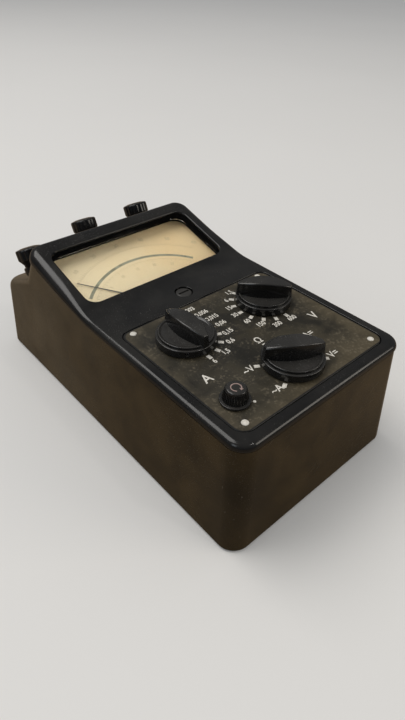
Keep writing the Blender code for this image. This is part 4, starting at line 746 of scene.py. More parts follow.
def combine(shape, steps):
    """Cut shapes out of one shape, or join them on, one after another."""
    item = tool_object(shape)
    tools = []
    for operation, other in steps:
        tool = tool_object(other)
        tools.append(tool)
        boolean = item.modifiers.new("cut", "BOOLEAN")
        boolean.operation, boolean.solver, boolean.object = operation, "EXACT", tool
    settle(item)
    result = bmesh.new()
    result.from_mesh(item.data)
    for spent in tools + [item]:
        bpy.data.objects.remove(spent, do_unlink=True)
    bmesh.ops.remove_doubles(result, verts=result.verts, dist=2e-6)
    bmesh.ops.dissolve_degenerate(result, edges=result.edges, dist=1e-6)
    return result


def finish_piece(name, shape, material, body, stands_for=(), round_edges=0.0, smooth=SMOOTH_ANGLE):
    """Make a piece from a shape, round its edges, shade it, and tie it to its body."""
    bmesh.ops.recalc_face_normals(shape, faces=shape.faces)
    mesh = bpy.data.meshes.new(name)
    shape.to_mesh(mesh)
    shape.free()
    mesh.materials.append(material)
    mesh.shade_smooth()
    mesh.set_sharp_from_angle(angle=smooth)
    item = bpy.data.objects.new(name, mesh)
    bpy.context.scene.collection.objects.link(item)
    if round_edges:
        bevel = item.modifiers.new("edges", "BEVEL")
        bevel.width, bevel.segments, bevel.limit_method = round_edges, 2, "ANGLE"
        bevel.angle_limit = smooth
    weighted = item.modifiers.new("shading", "WEIGHTED_NORMAL")
    weighted.keep_sharp = True
    settle(item)
    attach(item, body)
    if stands_for:
        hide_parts(*stands_for)
    return item


def report(item):
    print(item.name, len(item.data.polygons), "faces")


# %% [markdown]
# ## The case
#
# A deep tub with walls that lean in and a sloped shelf behind the head. It could be a cube with
# bevels, but a bevel can't follow the shelf, so rounded rectangles are stacked up the rear profile
# instead, and the inside is the same stack, one wall smaller.

# %% Case
CORNER_STEPS = 14
SHOULDER_STEPS = 10


def head_back(height):
    return HEAD_TOP_Y + (HEAD_TOP_Z - height) * math.tan(BACK_LEAN)


def seat_height(y):
    if y < HEAD_Y:
        return SEAT_HEIGHT + SEAT_CLIMB * (y - RIM_FRONT) / HEAD_START
    return SEAT_HEIGHT + SEAT_CLIMB + HEAD_SEAT_CLIMB * (y - HEAD_Y) / HEAD_LENGTH


def case_back():
    """The rear of the case as (y, z): wall, rounded shoulder, shelf and the back of the head."""
    wall_slope = CASE_LEAN / SEAT_HEIGHT
    ledge_slope = math.tan(LEDGE_ANGLE)
    ledge_y = head_back(LEDGE_HEIGHT)
    meet_z = (LEDGE_HEIGHT - ledge_slope * (CASE_LENGTH / 2 - ledge_y)) / (1 - ledge_slope * wall_slope)
    meet_y = CASE_LENGTH / 2 - wall_slope * meet_z
    wall_way = math.atan(wall_slope)
    turn = QUARTER - LEDGE_ANGLE - wall_way
    up_wall = Vector((-wall_slope, 1)).normalized()
    start = Vector((meet_y, meet_z)) - SHOULDER_ROUND * math.tan(turn / 2) * up_wall
    centre = start - SHOULDER_ROUND * Vector((math.cos(wall_way), math.sin(wall_way)))
    points = [(CASE_LENGTH / 2 - wall_slope * FOOT_STAND, FOOT_STAND)]
    for step in range(SHOULDER_STEPS + 1):
        angle = wall_way + turn * step / SHOULDER_STEPS
        points.append(
            (centre.x + SHOULDER_ROUND * math.cos(angle), centre.y + SHOULDER_ROUND * math.sin(angle)))
    return points + [(ledge_y, LEDGE_HEIGHT), (head_back(TOP_Z), TOP_Z)]


def case_ring(y_back, height, inset, lift=0.0):
    lean = CASE_LEAN * height / SEAT_HEIGHT
    half_width = CASE_WIDTH / 2 - lean - inset
    front = -CASE_LENGTH / 2 + lean + inset
    corner = CASE_CORNER - inset
    outline = rounded_rectangle(2 * half_width, front, y_back - inset, corner, corner, CORNER_STEPS)
    return [(x, y, height - lift) for x, y in outline]


def side_profile(points, half_width):
    """An outline of (y, z), pulled out along X."""
    side_turn = Matrix(((0, 0, 1, 0), (1, 0, 0, 0), (0, 1, 0, 0), (0, 0, 0, 1)))
    return moved(prism(points, -half_width, half_width), side_turn)


def terminal_frame(x):
    back, reach = head_back(LEDGE_HEIGHT), TERMINAL_SETBACK
    foot = shift(x, back + reach, LEDGE_HEIGHT - reach * math.tan(LEDGE_ANGLE))
    return foot @ Matrix.Rotation(-LEDGE_ANGLE, 4, "X")


TERMINAL_SETBACK = 0.013
TERMINAL_PITCH = 0.0405
CAP_TRAVEL = 0.0064
TERMINALS = (
    ("left", -TERMINAL_PITCH, 0.0), ("middle", 0.0, CAP_TRAVEL), ("right", TERMINAL_PITCH, CAP_TRAVEL))
COLLAR_STEM_RADIUS = 0.004
PLATE_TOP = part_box("battery_cradle")[0].z - GAP
REBATE_WALL = 0.0016


def make_case():
    back = case_back()
    outer = [case_ring(y, z, 0) for y, z in back]
    foot = back[0]
    outer.insert(0, case_ring(foot[0], foot[1], CASE_FOOT_ROUND))
    outer[1] = case_ring(foot[0], foot[1] + CASE_FOOT_ROUND, 0)
    inner = [case_ring(y, z, CASE_WALL, LEDGE_WALL) for y, z in back]
    inner.insert(0, [(x, y, -OVERRUN - LEDGE_WALL) for x, y, _ in inner[0]])
    reach = CASE_LENGTH / 2 + OVERRUN
    seat = (
        (-reach, seat_height(-reach)), (HEAD_Y, seat_height(HEAD_Y)), (reach, seat_height(reach)),
        (reach, TOP_Z + 2 * OVERRUN), (-reach, TOP_Z + 2 * OVERRUN))
    rebate = case_ring(CASE_LENGTH / 2, 0, REBATE_WALL)
    holes = [
        moved(rod(COLLAR_STEM_RADIUS + GAP, -3 * OVERRUN, OVERRUN), terminal_frame(x))
        for _, x, _ in TERMINALS]
    return combine(skin(outer), (
        ("DIFFERENCE", skin(inner)),
        ("DIFFERENCE", side_profile(seat, CASE_WIDTH / 2 + OVERRUN)),
        ("DIFFERENCE", skin([[(x, y, z) for x, y, _ in rebate] for z in (-OVERRUN, PLATE_TOP + GAP)])),
        ("DIFFERENCE", gather(holes))))


case_shell = finish_piece(
    "case_shell", make_case(), brown_moulding, "root", ["case_body"])
report(case_shell)

# %% [markdown]
# ## The top cover
#
# One moulding makes the flat deck, the rounded rim and the sloped head. Its outline is the same all
# the way up, so it is a stack again, whose height follows the side profile from front to rear. The
# window and the seat of the panel are cut with flared cutters, which leave the soft lips of a mould.

# %% Cover
WINDOW_WIDTH = 0.092
WINDOW_FRONT = 0.0068
WINDOW_DEPTH = 0.0425
WINDOW_CORNER = 0.006
WINDOW_LIP = 0.0011
GLASS_LAND = 0.0016
GLASS_SINK = 0.0053
GLASS_THICKNESS = 0.0022
GLASS_BOTTOM = GLASS_SINK + GAP + GLASS_THICKNESS
POINTER_ROOM = 0.0016
BLOCK_WIDTH = 0.101
BLOCK_FRONT = 0.0035
BLOCK_BACK = 0.0525
BLOCK_ROOT = 0.002
BLOCK_DEPTH = GLASS_BOTTOM + POINTER_ROOM
SCALE_TOP = BLOCK_DEPTH + GAP
PANEL_FRONT_CORNER = 0.0065
PANEL_REAR_CORNER = 0.0045
PANEL_LIP = 0.0005
ADJUSTER_Y = HEAD_Y - 0.0116
ADJUSTER_RADIUS = 0.0046
COVER_STEPS = 10


def top_height(y):
    along = y - HEAD_Y
    if along <= -HEAD_VALLEY:
        return PANEL_HEIGHT
    if along >= HEAD_VALLEY:
        return PANEL_HEIGHT + along * math.tan(HEAD_ANGLE)
    return PANEL_HEIGHT + math.tan(HEAD_ANGLE) * (along + HEAD_VALLEY) ** 2 / (4 * HEAD_VALLEY)


def edge_round(y):
    share = min(max((y - HEAD_Y) / HEAD_BLEND, 0), 1)
    share = share * share * (3 - 2 * share)
    return RIM_ROUND + (HEAD_ROUND - RIM_ROUND) * share


def cover_ring(inset_of, height_of, back_shift):
    """One ring round the cover; the inset and height may change from front to back."""
    stops = [HEAD_Y + HEAD_VALLEY * (step / 4 - 1) for step in range(9)]
    stops += [HEAD_Y + HEAD_VALLEY + (HEAD_BLEND - HEAD_VALLEY) * step / 6 for step in range(1, 7)]
    rear = head_back(HEAD_TOP_Z - HEAD_ROUND)
    half = rounded_corners(RIM_WIDTH / 2, RIM_FRONT, rear, RIM_CORNER, RIM_CORNER, CORNER_STEPS)
    turn = CORNER_STEPS + 1
    half = half[:turn] + [(RIM_WIDTH / 2, y, 1, 0) for y in stops] + half[turn:]
    points = []
    for x, y, x_way, y_way in half:
        inset = inset_of(y)
        moved_y = y - y_way * inset + max(y_way, 0) * back_shift
        points.append((x - x_way * inset, moved_y, height_of(y, moved_y)))
    return mirrored(points)


def cover_skin():
    drop = (top_height(HEAD_TOP_Y) - HEAD_ROUND - seat_height(HEAD_TOP_Y)) * math.tan(BACK_LEAN)
    rings = [
        cover_ring(lambda y: RIM_CHAMFER, lambda y, moved_y: seat_height(moved_y) + GAP, drop),
        cover_ring(
            lambda y: RIM_CHAMFER / 4, lambda y, moved_y: seat_height(moved_y) + GAP + RIM_CHAMFER / 2, drop),
        cover_ring(lambda y: 0, lambda y, moved_y: seat_height(moved_y) + GAP + RIM_CHAMFER, drop)]
    for step in range(COVER_STEPS + 1):
        angle = QUARTER * step / COVER_STEPS
        rings.append(cover_ring(
            lambda y: edge_round(y) * (1 - math.cos(angle)),
            lambda y, moved_y: top_height(moved_y) - edge_round(y) * (1 - math.sin(angle)), 0))
    return skin(rings)


def window_outline(spread):
    rear = WINDOW_FRONT + WINDOW_DEPTH
    corner = WINDOW_CORNER + spread
    return rounded_rectangle(WINDOW_WIDTH + 2 * spread, WINDOW_FRONT - spread, rear + spread, corner, corner)


def panel_outline(spread):
    return rounded_rectangle(
        panel_high.x - panel_low.x + 2 * spread, panel_low.y - spread, panel_high.y + spread,
        PANEL_FRONT_CORNER + spread, PANEL_REAR_CORNER + spread)


def make_cover():
    base = rounded_rectangle(BLOCK_WIDTH, BLOCK_FRONT, BLOCK_BACK, WINDOW_CORNER, WINDOW_CORNER)
    side = WINDOW_WIDTH / 2 + GLASS_LAND
    way_in = block((-side, side), (0, WINDOW_FRONT + WINDOW_CORNER), (-BLOCK_DEPTH - OVERRUN, -GLASS_BOTTOM))
    seat = [
        (radius, z) for z, radius in
        lip_levels(PANEL_HEIGHT - 0.0021, PANEL_HEIGHT, ADJUSTER_RADIUS + GAP, 0.0004, 4)]
    seat = [(0, seat[0][1])] + seat + [(0, seat[-1][1])]
    window = stack(window_outline, lip_levels(-BLOCK_DEPTH - OVERRUN, 0, 0, WINDOW_LIP))
    glass_seat = prism(window_outline(GLASS_LAND), -BLOCK_DEPTH - OVERRUN, -GLASS_SINK)
    return combine(cover_skin(), (
        ("UNION", moved(prism(base, -BLOCK_DEPTH, -BLOCK_ROOT), HEAD_FRAME)),
        ("DIFFERENCE", moved(window, HEAD_FRAME)),
        ("DIFFERENCE", moved(glass_seat, HEAD_FRAME)),
        ("DIFFERENCE", moved(way_in, HEAD_FRAME)),
        ("DIFFERENCE", stack(panel_outline, lip_levels(panel_low.z - GAP, PANEL_HEIGHT, GAP, PANEL_LIP, 3))),
        ("DIFFERENCE", moved(turned(seat, 64), shift(0, ADJUSTER_Y, 0)))))


cover = finish_piece("cover_shell", make_cover(), black_moulding, "root", ["top_cover"])
report(cover)

# %% [markdown]
# ## The panel plate and its pins
#
# A printed plate lies in the deck. Its top edge is broken, as a stamped plate's edge is. Four small
# domed pins hold it, and because they are all alike, a small Geometry Nodes tree sets one dome on
# each of four points.

# %% Plate
BUSH_HOLE = 0.0048
OHMS_HOLE = 0.0037
PLATE_EDGE = 0.00025
RANGE_SIDE = 0.0263
RANGE_REACH = 0.0670
FUNCTION_REACH = 0.0239
OHMS_SIDE = 0.037
OHMS_REACH = 0.0228
SELECTORS = (
    ("current", -RANGE_SIDE, RIM_FRONT + RANGE_REACH, 270),
    ("voltage", RANGE_SIDE, RIM_FRONT + RANGE_REACH, 135),
    ("function", 0.0, RIM_FRONT + FUNCTION_REACH, 330))


def make_plate():
    levels = ((panel_low.z, 0), (panel_high.z - PLATE_EDGE, 0), (panel_high.z, -PLATE_EDGE))
    low, high = panel_low.z - OVERRUN, panel_high.z + OVERRUN
    holes = [moved(rod(BUSH_HOLE, low, high), shift(x, y, 0)) for _, x, y, _ in SELECTORS]
    holes.append(moved(rod(OHMS_HOLE, low, high), shift(-OHMS_SIDE, RIM_FRONT + OHMS_REACH, 0)))
    return combine(stack(panel_outline, levels), [("DIFFERENCE", gather(holes))])


plate = finish_piece(
    "printed_plate", make_plate(), panel_paint, "root", ["panel_plate"], smooth=math.radians(20))
report(plate)

# %% [markdown]
# Repeats are grown from points: each tree puts one small shape on each point of a mesh, turned by the
# angle that the point carries. Sizes are named inputs, so one tree serves many rows.

# %% Geometry Nodes helpers


def geometry_tree(name, inputs):
    """A new geometry tree with one named input for each size, and its two end nodes."""
    tree = bpy.data.node_groups.new(name, "GeometryNodeTree")
    tree.interface.new_socket("Geometry", in_out="INPUT", socket_type="NodeSocketGeometry")
    for label, kind in inputs:
        tree.interface.new_socket(label, in_out="INPUT", socket_type=kind)
    tree.interface.new_socket("Geometry", in_out="OUTPUT", socket_type="NodeSocketGeometry")
    return tree, tree.nodes.new("NodeGroupInput"), tree.nodes.new("NodeGroupOutput")


def close_geometry(tree, start, end, geometry):
    """End a tree with real faces that carry their material."""
    real = wire(tree, "GeometryNodeRealizeInstances", {"Geometry": geometry}).outputs[0]
    painted = wire(tree, "GeometryNodeSetMaterial", {"Geometry": real, "Material": start.outputs["Material"]})
    tree.links.new(painted.outputs[0], end.inputs["Geometry"])
    return tree


def grow(tree, points, values):
    """Run a tree on a set of points, each with its turn about Z, and return the plain mesh as a shape."""
    mesh = bpy.data.meshes.new("points")
    mesh.from_pydata([place for place, _ in points], [], [])
    turn = mesh.attributes.new("turn", "FLOAT", "POINT")
    for number, (_, angle) in enumerate(points):
        turn.data[number].value = angle
    item = bpy.data.objects.new("points", mesh)
    bpy.context.scene.collection.objects.link(item)
    modifier = item.modifiers.new("grow", "NODES")
    modifier.node_group = tree
    for socket in tree.interface.items_tree:
        if socket.in_out == "INPUT" and socket.name in values:
            modifier[socket.identifier] = values[socket.name]
    settle(item)
    shape = bmesh.new()
    shape.from_mesh(item.data)
    bpy.data.objects.remove(item, do_unlink=True)
    return shape


def turn_of_point(tree):
    """The angle that each point carries, as a rotation."""
    angle = wire(tree, "GeometryNodeInputNamedAttribute", {"Name": "turn"}, data_type="FLOAT").outputs[0]
    return wire(tree, "ShaderNodeCombineXYZ", {"Z": angle}).outputs[0]


def make_pin_tree():
    """A low dome on each point."""
    tree, start, end = geometry_tree(
        "Domed_Pins",
        (("Radius", "NodeSocketFloat"), ("Rise", "NodeSocketFloat"), ("Material", "NodeSocketMaterial")))
    ball = wire(
        tree, "GeometryNodeMeshUVSphere", {"Segments": 24, "Rings": 12, "Radius": start.outputs["Radius"]})
    flat = wire(
        tree, "ShaderNodeMath", {0: start.outputs["Rise"], 1: start.outputs["Radius"]}, operation="DIVIDE")
    squash = wire(tree, "ShaderNodeCombineXYZ", {"X": 1.0, "Y": 1.0, "Z": flat.outputs[0]})
    set_on = wire(tree, "GeometryNodeInstanceOnPoints", {
        "Points": start.outputs["Geometry"], "Instance": ball.outputs[0], "Scale": squash.outputs[0]})
    return close_geometry(tree, start, end, set_on.outputs[0])


def make_mark_tree():
    """A printed rectangle on each point, turned as the point says."""
    tree, start, end = geometry_tree("Printed_Marks", (
        ("Length", "NodeSocketFloat"), ("Width", "NodeSocketFloat"), ("Thickness", "NodeSocketFloat"),
        ("Material", "NodeSocketMaterial")))
    size = wire(tree, "ShaderNodeCombineXYZ", {
        "X": start.outputs["Length"], "Y": start.outputs["Width"], "Z": start.outputs["Thickness"]})
    bar = wire(tree, "GeometryNodeMeshCube", {"Size": size.outputs[0]})
    set_on = wire(tree, "GeometryNodeInstanceOnPoints", {
        "Points": start.outputs["Geometry"], "Instance": bar.outputs[0], "Rotation": turn_of_point(tree)})
    return close_geometry(tree, start, end, set_on.outputs[0])


pin_tree = make_pin_tree()
mark_tree = make_mark_tree()
print("trees", pin_tree.name, "and", mark_tree.name)

# %% [markdown]
# The four pins are one piece: the tree sets the same low dome on each corner point.

# %% Plate pins
PIN_RADIUS = 0.00165
PIN_RISE = 0.0006
PIN_SIDE = 0.0427
PIN_REACHES = (0.0112, 0.0868)
PIN_PLACES = [(x * PIN_SIDE, RIM_FRONT + y) for x in (-1, 1) for y in PIN_REACHES]
pins = finish_piece(
    "plate_pins",
    grow(
        pin_tree, [((x, y, PANEL_TOP), 0.0) for x, y in PIN_PLACES],
        {"Radius": PIN_RADIUS, "Rise": PIN_RISE, "Material": white_print}),
    white_print, "root")
report(pins)

# %% [markdown]
# ## Prints on the panel
#
# The real print is a layer of paint a few hundredths of a millimetre thick. The range marks repeat
# round each knob, so a tree sets a thin bar on each point of a circle. The numbers are text, made a
# mesh and laid flat.

# %% Lettering
PRINT_RISE = 0.00005
DIGIT_SHARE = 0.729


def text_shape(words, height, thickness, width=1.0, weight=0.0):
    """Flat letters, centred, with capitals of the given height."""
    curve = bpy.data.curves.new("words", "FONT")
    curve.body = words
    curve.size = height / DIGIT_SHARE
    curve.align_x, curve.align_y = "CENTER", "CENTER"
    curve.resolution_u = 3
    curve.extrude = thickness
    curve.offset = weight
    item = bpy.data.objects.new("words", curve)
    bpy.context.scene.collection.objects.link(item)
    bpy.context.view_layer.update()
    graph = bpy.context.evaluated_depsgraph_get()
    mesh = bpy.data.meshes.new_from_object(item.evaluated_get(graph))
    shape = bmesh.new()
    shape.from_mesh(mesh)
    bpy.data.objects.remove(item, do_unlink=True)
    bpy.data.meshes.remove(mesh)
    bmesh.ops.remove_doubles(shape, verts=shape.verts, dist=1e-7)
    return moved(shape, Matrix.Diagonal((width, 1, 1, 1)))


def on_panel(shape, x, y):
    return moved(shape, shift(x, RIM_FRONT + y, PANEL_TOP))


def round_marks(x, y, radius, degrees):
    """Points on a circle round a knob, each turned along its radius."""
    points = []
    for angle in map(math.radians, degrees):
        points.append(
            ((x + radius * math.cos(angle), RIM_FRONT + y + radius * math.sin(angle), PANEL_TOP), angle))
    return points


MARK_RADIUS = 0.0165
MARK_LENGTH = 0.0027
MARK_WIDTH = 0.0019
NUMBER_HEIGHT = 0.0031
MARK_STEP = 22.5
VOLTS = (("1,5", 115, 0.0192), ("6", 139, 0.0192), ("15", 160.6, 0.0195), ("30", 179.5, 0.0202),
         ("60", 201.5, 0.0207), ("150", 221, 0.0208), ("300", 244, 0.0210), ("600", 271, 0.0199))
AMPERES = (("6", 270, 0.0201), ("1,5", 295, 0.0203), ("0,6", 319, 0.0210), ("0,15", 339, 0.0214),
           ("0,06", 359, 0.0221), ("0,015", 15.4, 0.0228), ("0,006", 31, 0.0237), ("0,003", 47.6, 0.0247))
volt_turns = [112.5 + MARK_STEP * number for number in range(8)]
ampere_turns = [270 + MARK_STEP * number for number in range(8) if number != 4]
ranges = round_marks(RANGE_SIDE, RANGE_REACH, MARK_RADIUS, volt_turns)
ranges += round_marks(-RANGE_SIDE, RANGE_REACH, MARK_RADIUS, ampere_turns)
ranges += round_marks(0, FUNCTION_REACH, MARK_RADIUS, (330, 30, 90, 150, 210))
mark_sizes = {"Length": MARK_LENGTH, "Width": MARK_WIDTH, "Thickness": 2 * PRINT_RISE}
marks = finish_piece(
    "range_marks", grow(mark_tree, ranges, {**mark_sizes, "Material": white_print}), white_print, "root")
finish_piece(
    "warm_mark",
    grow(
        mark_tree, round_marks(-RANGE_SIDE, RANGE_REACH, MARK_RADIUS, [0]),
        {**mark_sizes, "Material": warm_print}),
    warm_print, "root")
report(marks)

# %% [markdown]
# The numbers stand upright to the reader, not along their radius, so each has its own angle and
# distance from its knob's axis.

# %% Numbers and letters


def numbers_round(x, y, table):
    shapes = []
    for words, angle, radius in table:
        turn = math.radians(angle)
        letters = text_shape(words, NUMBER_HEIGHT, PRINT_RISE, 0.82, 0.00009)
        shapes.append(on_panel(letters, x + radius * math.cos(turn), y + radius * math.sin(turn)))
    return shapes


LETTERS = (
    ("A", -0.0370, 0.0402, 0.0056), ("V", 0.0370, 0.0416, 0.0056), ("~V", -0.0190, 0.0327, 0.0040),
    ("~A", -0.0186, 0.0162, 0.0040), ("V=", 0.0198, 0.0158, 0.0040), ("A=", 0.0226, 0.0330, 0.0040),
    ("Ω", 0.0, 0.0449, 0.0042))
printed = numbers_round(RANGE_SIDE, RANGE_REACH, VOLTS) + numbers_round(-RANGE_SIDE, RANGE_REACH, AMPERES)
printed += [
    on_panel(text_shape(words, height, PRINT_RISE, 0.9, 0.00008), x, y) for words, x, y, height in LETTERS]
index_dot = on_panel(rod(0.0007, -PRINT_RISE, PRINT_RISE, 20), -0.0312, 0.0171)
lettering = finish_piece("panel_lettering", gather(printed + [index_dot]), white_print, "root")
report(lettering)

# %% [markdown]
# ## The scale
#
# Behind the glass lies an ivory scale with an outer row of divisions, a dark band for reading without
# parallax, and a finer row inside it. All of them are arcs about one point in front of the window, so
# they come from one function for the arcs and one tree for the divisions.

# %% Scale
SCALE_SIDE, SCALE_SETBACK = -0.0035, 0.0190
SCALE_FRAME = HEAD_FRAME @ shift(SCALE_SIDE, -SCALE_SETBACK, -SCALE_TOP)
ARC_SWEEP = 88
OUTER_ARC = 0.0600
BAND_INNER, BAND_OUTER = 0.0500, 0.0517
INNER_ARC = 0.0478


def arc_strip(inner, outer, sweep, thickness, steps=72):
    outline = []
    for radius, order in ((outer, range(steps + 1)), (inner, range(steps, -1, -1))):
        for step in order:
            angle = QUARTER + math.radians(sweep) * (0.5 - step / steps)
            outline.append((radius * math.cos(angle), radius * math.sin(angle)))
    return prism(outline, -thickness, thickness)


def fan(radius, count, keep):
    """Points along the arc, each turned along its radius."""
    points = []
    for number in range(count + 1):
        if keep(number):
            angle = QUARTER + math.radians(ARC_SWEEP) * (0.5 - number / count)
            points.append(((radius * math.cos(angle), radius * math.sin(angle), 0.0), angle))
    return points


def divisions(radius, count, keep, length, width):
    sizes = {"Length": length, "Width": width, "Thickness": 2 * PRINT_RISE, "Material": scale_ink}
    return grow(mark_tree, fan(radius + length / 2, count, keep), sizes)


finish_piece(
    "scale_band", moved(arc_strip(BAND_INNER, BAND_OUTER, ARC_SWEEP + 2, PRINT_RISE), SCALE_FRAME),
    mirror_band, "root")
fine_lines = [
    arc_strip(OUTER_ARC - 0.00008, OUTER_ARC, ARC_SWEEP, PRINT_RISE),
    divisions(OUTER_ARC, 60, lambda n: n % 5, 0.0014, 0.00012),
    divisions(OUTER_ARC, 60, lambda n: n % 5 == 0 and n % 10, 0.0019, 0.00015),
    divisions(OUTER_ARC, 60, lambda n: n % 10 == 0, 0.0026, 0.00018),
    arc_strip(INNER_ARC - 0.00008, INNER_ARC, ARC_SWEEP, PRINT_RISE),
    divisions(INNER_ARC - 0.0012, 30, lambda n: n % 5, 0.0012, 0.00012),
    divisions(INNER_ARC - 0.002, 30, lambda n: n % 5 == 0, 0.002, 0.00015)]


def numbers_on_arc(words, radius, height):
    shapes = []
    for number, label in enumerate(words):
        angle = QUARTER + math.radians(ARC_SWEEP) * (0.5 - number / (len(words) - 1))
        letters = text_shape(label, height, PRINT_RISE, 0.85)
        place = shift(radius * math.cos(angle), radius * math.sin(angle), 0) @ spin(angle - QUARTER)
        shapes.append(moved(letters, place))
    return shapes


outer_numbers = numbers_on_arc(("0", "10", "20", "30", "40", "50", "60"), OUTER_ARC + 0.0056, 0.0028)
inner_numbers = numbers_on_arc(("0", "5", "10", "15", "20", "25", "30"), INNER_ARC - 0.0045, 0.0020)
scale_lines = finish_piece(
    "scale_divisions", moved(gather(fine_lines), SCALE_FRAME), pale_ink, "root")
finish_piece(
    "scale_numbers", moved(gather(outer_numbers + inner_numbers), SCALE_FRAME), pale_ink, "root")
report(scale_lines)

# %% [markdown]
# ## Knobs
#
# A selector knob is a round skirt with a dished ledge under a bar that tapers to both ends and whose
# top is arched along it. The bar is a stack of the same lens outline, drawn in a little towards the
# top, joined to the skirt, and the corner between them is rounded.

# %% Selector knobs
SKIRT_RADIUS = 0.0146
SKIRT_HEIGHT = 0.0038
TIER_RADIUS = 0.0134
TIER_RISE = 0.0013
DISH_DEPTH = 0.0007
KNOB_LIFT = 0.0006
GRIP_LENGTH = 0.0288
GRIP_WIDTH = 0.0102
GRIP_END = 0.0036
GRIP_HEIGHT = 0.0125
GRIP_CROWN = 0.0026
GRIP_DRAFT = 0.0005
GRIP_ROUND = 0.0009
GRUB_RISE = 0.0023
GRUB_ANGLE = math.radians(-38)
GRUB_RADIUS = 0.0011
KNOB_SIDES = 96
KNOB_HOLLOW_RADIUS = 0.0105
KNOB_HOLLOW_DEPTH = 0.001
KNOB_BORE_RADIUS = 0.0033
KNOB_BORE_DEPTH = 0.009
KNOB_LOW = PANEL_TOP + KNOB_LIFT


def grip_outline(trim, steps=20):
    """A lens-shaped bar with blunt ends, as points along its right and left sides."""
    half_length = GRIP_LENGTH / 2 - trim
    half_width = GRIP_WIDTH / 2 - trim
    half_end = max(GRIP_END / 2 - trim, 0.0003)
    sag = half_width - half_end
    swell = (half_length ** 2 + sag ** 2) / (2 * sag)
    sweep = math.asin(half_length / swell)
    side = []
    for step in range(2 * steps + 1):
        angle = sweep * (step / steps - 1)
        side.append((swell * math.sin(angle), half_width - swell * (1 - math.cos(angle))))
    return [(x, -y) for x, y in side] + side[::-1]


def grip_shape():
    top = KNOB_LOW + GRIP_HEIGHT

    def level(z, trim, arched):
        fall = GRIP_CROWN if arched else 0
        return [(x, y, z - fall * (2 * x / GRIP_LENGTH) ** 2) for x, y in grip_outline(trim)]

    foot = KNOB_LOW + SKIRT_HEIGHT / 2
    rings = [level(foot, 0, False), level(foot + TIER_RISE + SKIRT_HEIGHT / 2, GRIP_DRAFT / 2, False)]
    for step in range(7):
        angle = QUARTER * step / 6
        trim = GRIP_DRAFT + GRIP_ROUND * (1 - math.cos(angle))
        rings.append(level(top - GRIP_ROUND * (1 - math.sin(angle)), trim, True))
    return skin(rings)


def rounded_step(radius, height, bend, steps=4):
    """The outer edge of a turned step, rounded by a small bend."""
    turns = [QUARTER * step / steps for step in range(steps + 1)]
    return [(radius - bend * (1 - math.cos(turn)), height - bend * (1 - math.sin(turn))) for turn in turns]


def skirt_profile():
    """The skirt as (radius, height): a low wall, a narrower tier with a lip, and a dished ledge."""
    lip = SKIRT_HEIGHT + TIER_RISE
    dish = TIER_RADIUS - 0.0013
    points = [(0, 0), (SKIRT_RADIUS - 0.0003, 0), (SKIRT_RADIUS, 0.0003)]
    points += rounded_step(SKIRT_RADIUS, SKIRT_HEIGHT, 0.0005)
    points += [(TIER_RADIUS, SKIRT_HEIGHT)] + rounded_step(TIER_RADIUS, lip, 0.0004)
    points += [(TIER_RADIUS - 0.0007, lip), (TIER_RADIUS - 0.0009, lip - 0.0001), (dish, lip - 0.0005),
               (dish - 0.0006, lip - DISH_DEPTH), (0, lip - DISH_DEPTH)]
    return [(radius, KNOB_LOW + height) for radius, height in points]


def make_knob(x, y, rest):
    axis = shift(x, y, 0) @ spin(math.radians(rest))
    start, shoulder, end = KNOB_LOW - OVERRUN, KNOB_LOW + KNOB_HOLLOW_DEPTH, KNOB_LOW + KNOB_BORE_DEPTH
    hollow = (
        (0, start), (KNOB_HOLLOW_RADIUS, start), (KNOB_HOLLOW_RADIUS, shoulder),
        (KNOB_BORE_RADIUS, shoulder), (KNOB_BORE_RADIUS, end), (0, end))
    radial = shift(0, 0, KNOB_LOW + GRUB_RISE) @ spin(GRUB_ANGLE) @ Matrix.Rotation(QUARTER, 4, "Y")
    shape = combine(turned(skirt_profile(), KNOB_SIDES), (
        ("UNION", grip_shape()),
        ("DIFFERENCE", turned(hollow, 32)),
        ("DIFFERENCE", moved(rod(GRUB_RADIUS, KNOB_BORE_RADIUS, SKIRT_RADIUS + OVERRUN, 24), radial))))
    return moved(shape, axis)


for name, x, y, rest in SELECTORS:
    knob = finish_piece(
        name + "_selector_knob", make_knob(x, y, rest), knob_moulding, name + "_selector",
        [name + "_knob"],
        round_edges=0.00022)
    report(knob)

# %% [markdown]
# A slotted set screw sits in the radial hole of each knob. It is a short turned pin with a narrow
# slot, a little below the skirt's wall, so that the hole stays visible round it.

# %% Grub screws
GRUB_SINK = 0.0012
GRUB_LENGTH = 0.004
GRUB_EDGE = 0.0002
GRUB_SLOT_DEPTH = 0.0006


def make_grub_screw(x, y, rest):
    """A slotted set screw in the radial hole of a knob."""
    place = shift(x, y, KNOB_LOW + GRUB_RISE)
    axis = place @ spin(math.radians(rest) + GRUB_ANGLE) @ Matrix.Rotation(QUARTER, 4, "Y")
    end = SKIRT_RADIUS - GRUB_SINK
    radius = GRUB_RADIUS - 0.0001
    body = turned((
        (0, end - GRUB_LENGTH), (radius, end - GRUB_LENGTH), (radius, end - GRUB_EDGE),
        (radius - GRUB_EDGE, end), (0, end)), 24)
    slot = block(
        (-GRUB_RADIUS, GRUB_RADIUS), (-GRUB_EDGE, GRUB_EDGE), (end - GRUB_SLOT_DEPTH, end + OVERRUN))
    return moved(combine(body, [("DIFFERENCE", slot)]), axis)


for name, x, y, rest in SELECTORS:
    screw = finish_piece(
        name + "_grub_screw", make_grub_screw(x, y, rest), plain_steel, name + "_selector")
    report(screw)

# %% [markdown]
# ## The zero-ohm knob
#
# A small cone with fine ribs all round. The ribs are one rounded bar set on each point of a circle,
# leaning in with the cone.

# %% Zero-ohm knob
OHMS_FLANGE_RADIUS = 0.0069
OHMS_FLANGE_HEIGHT = 0.0009
OHMS_FOOT_RADIUS = 0.0056
OHMS_TOP_RADIUS = 0.0047
OHMS_HEIGHT = 0.0068
OHMS_RIBS = 36


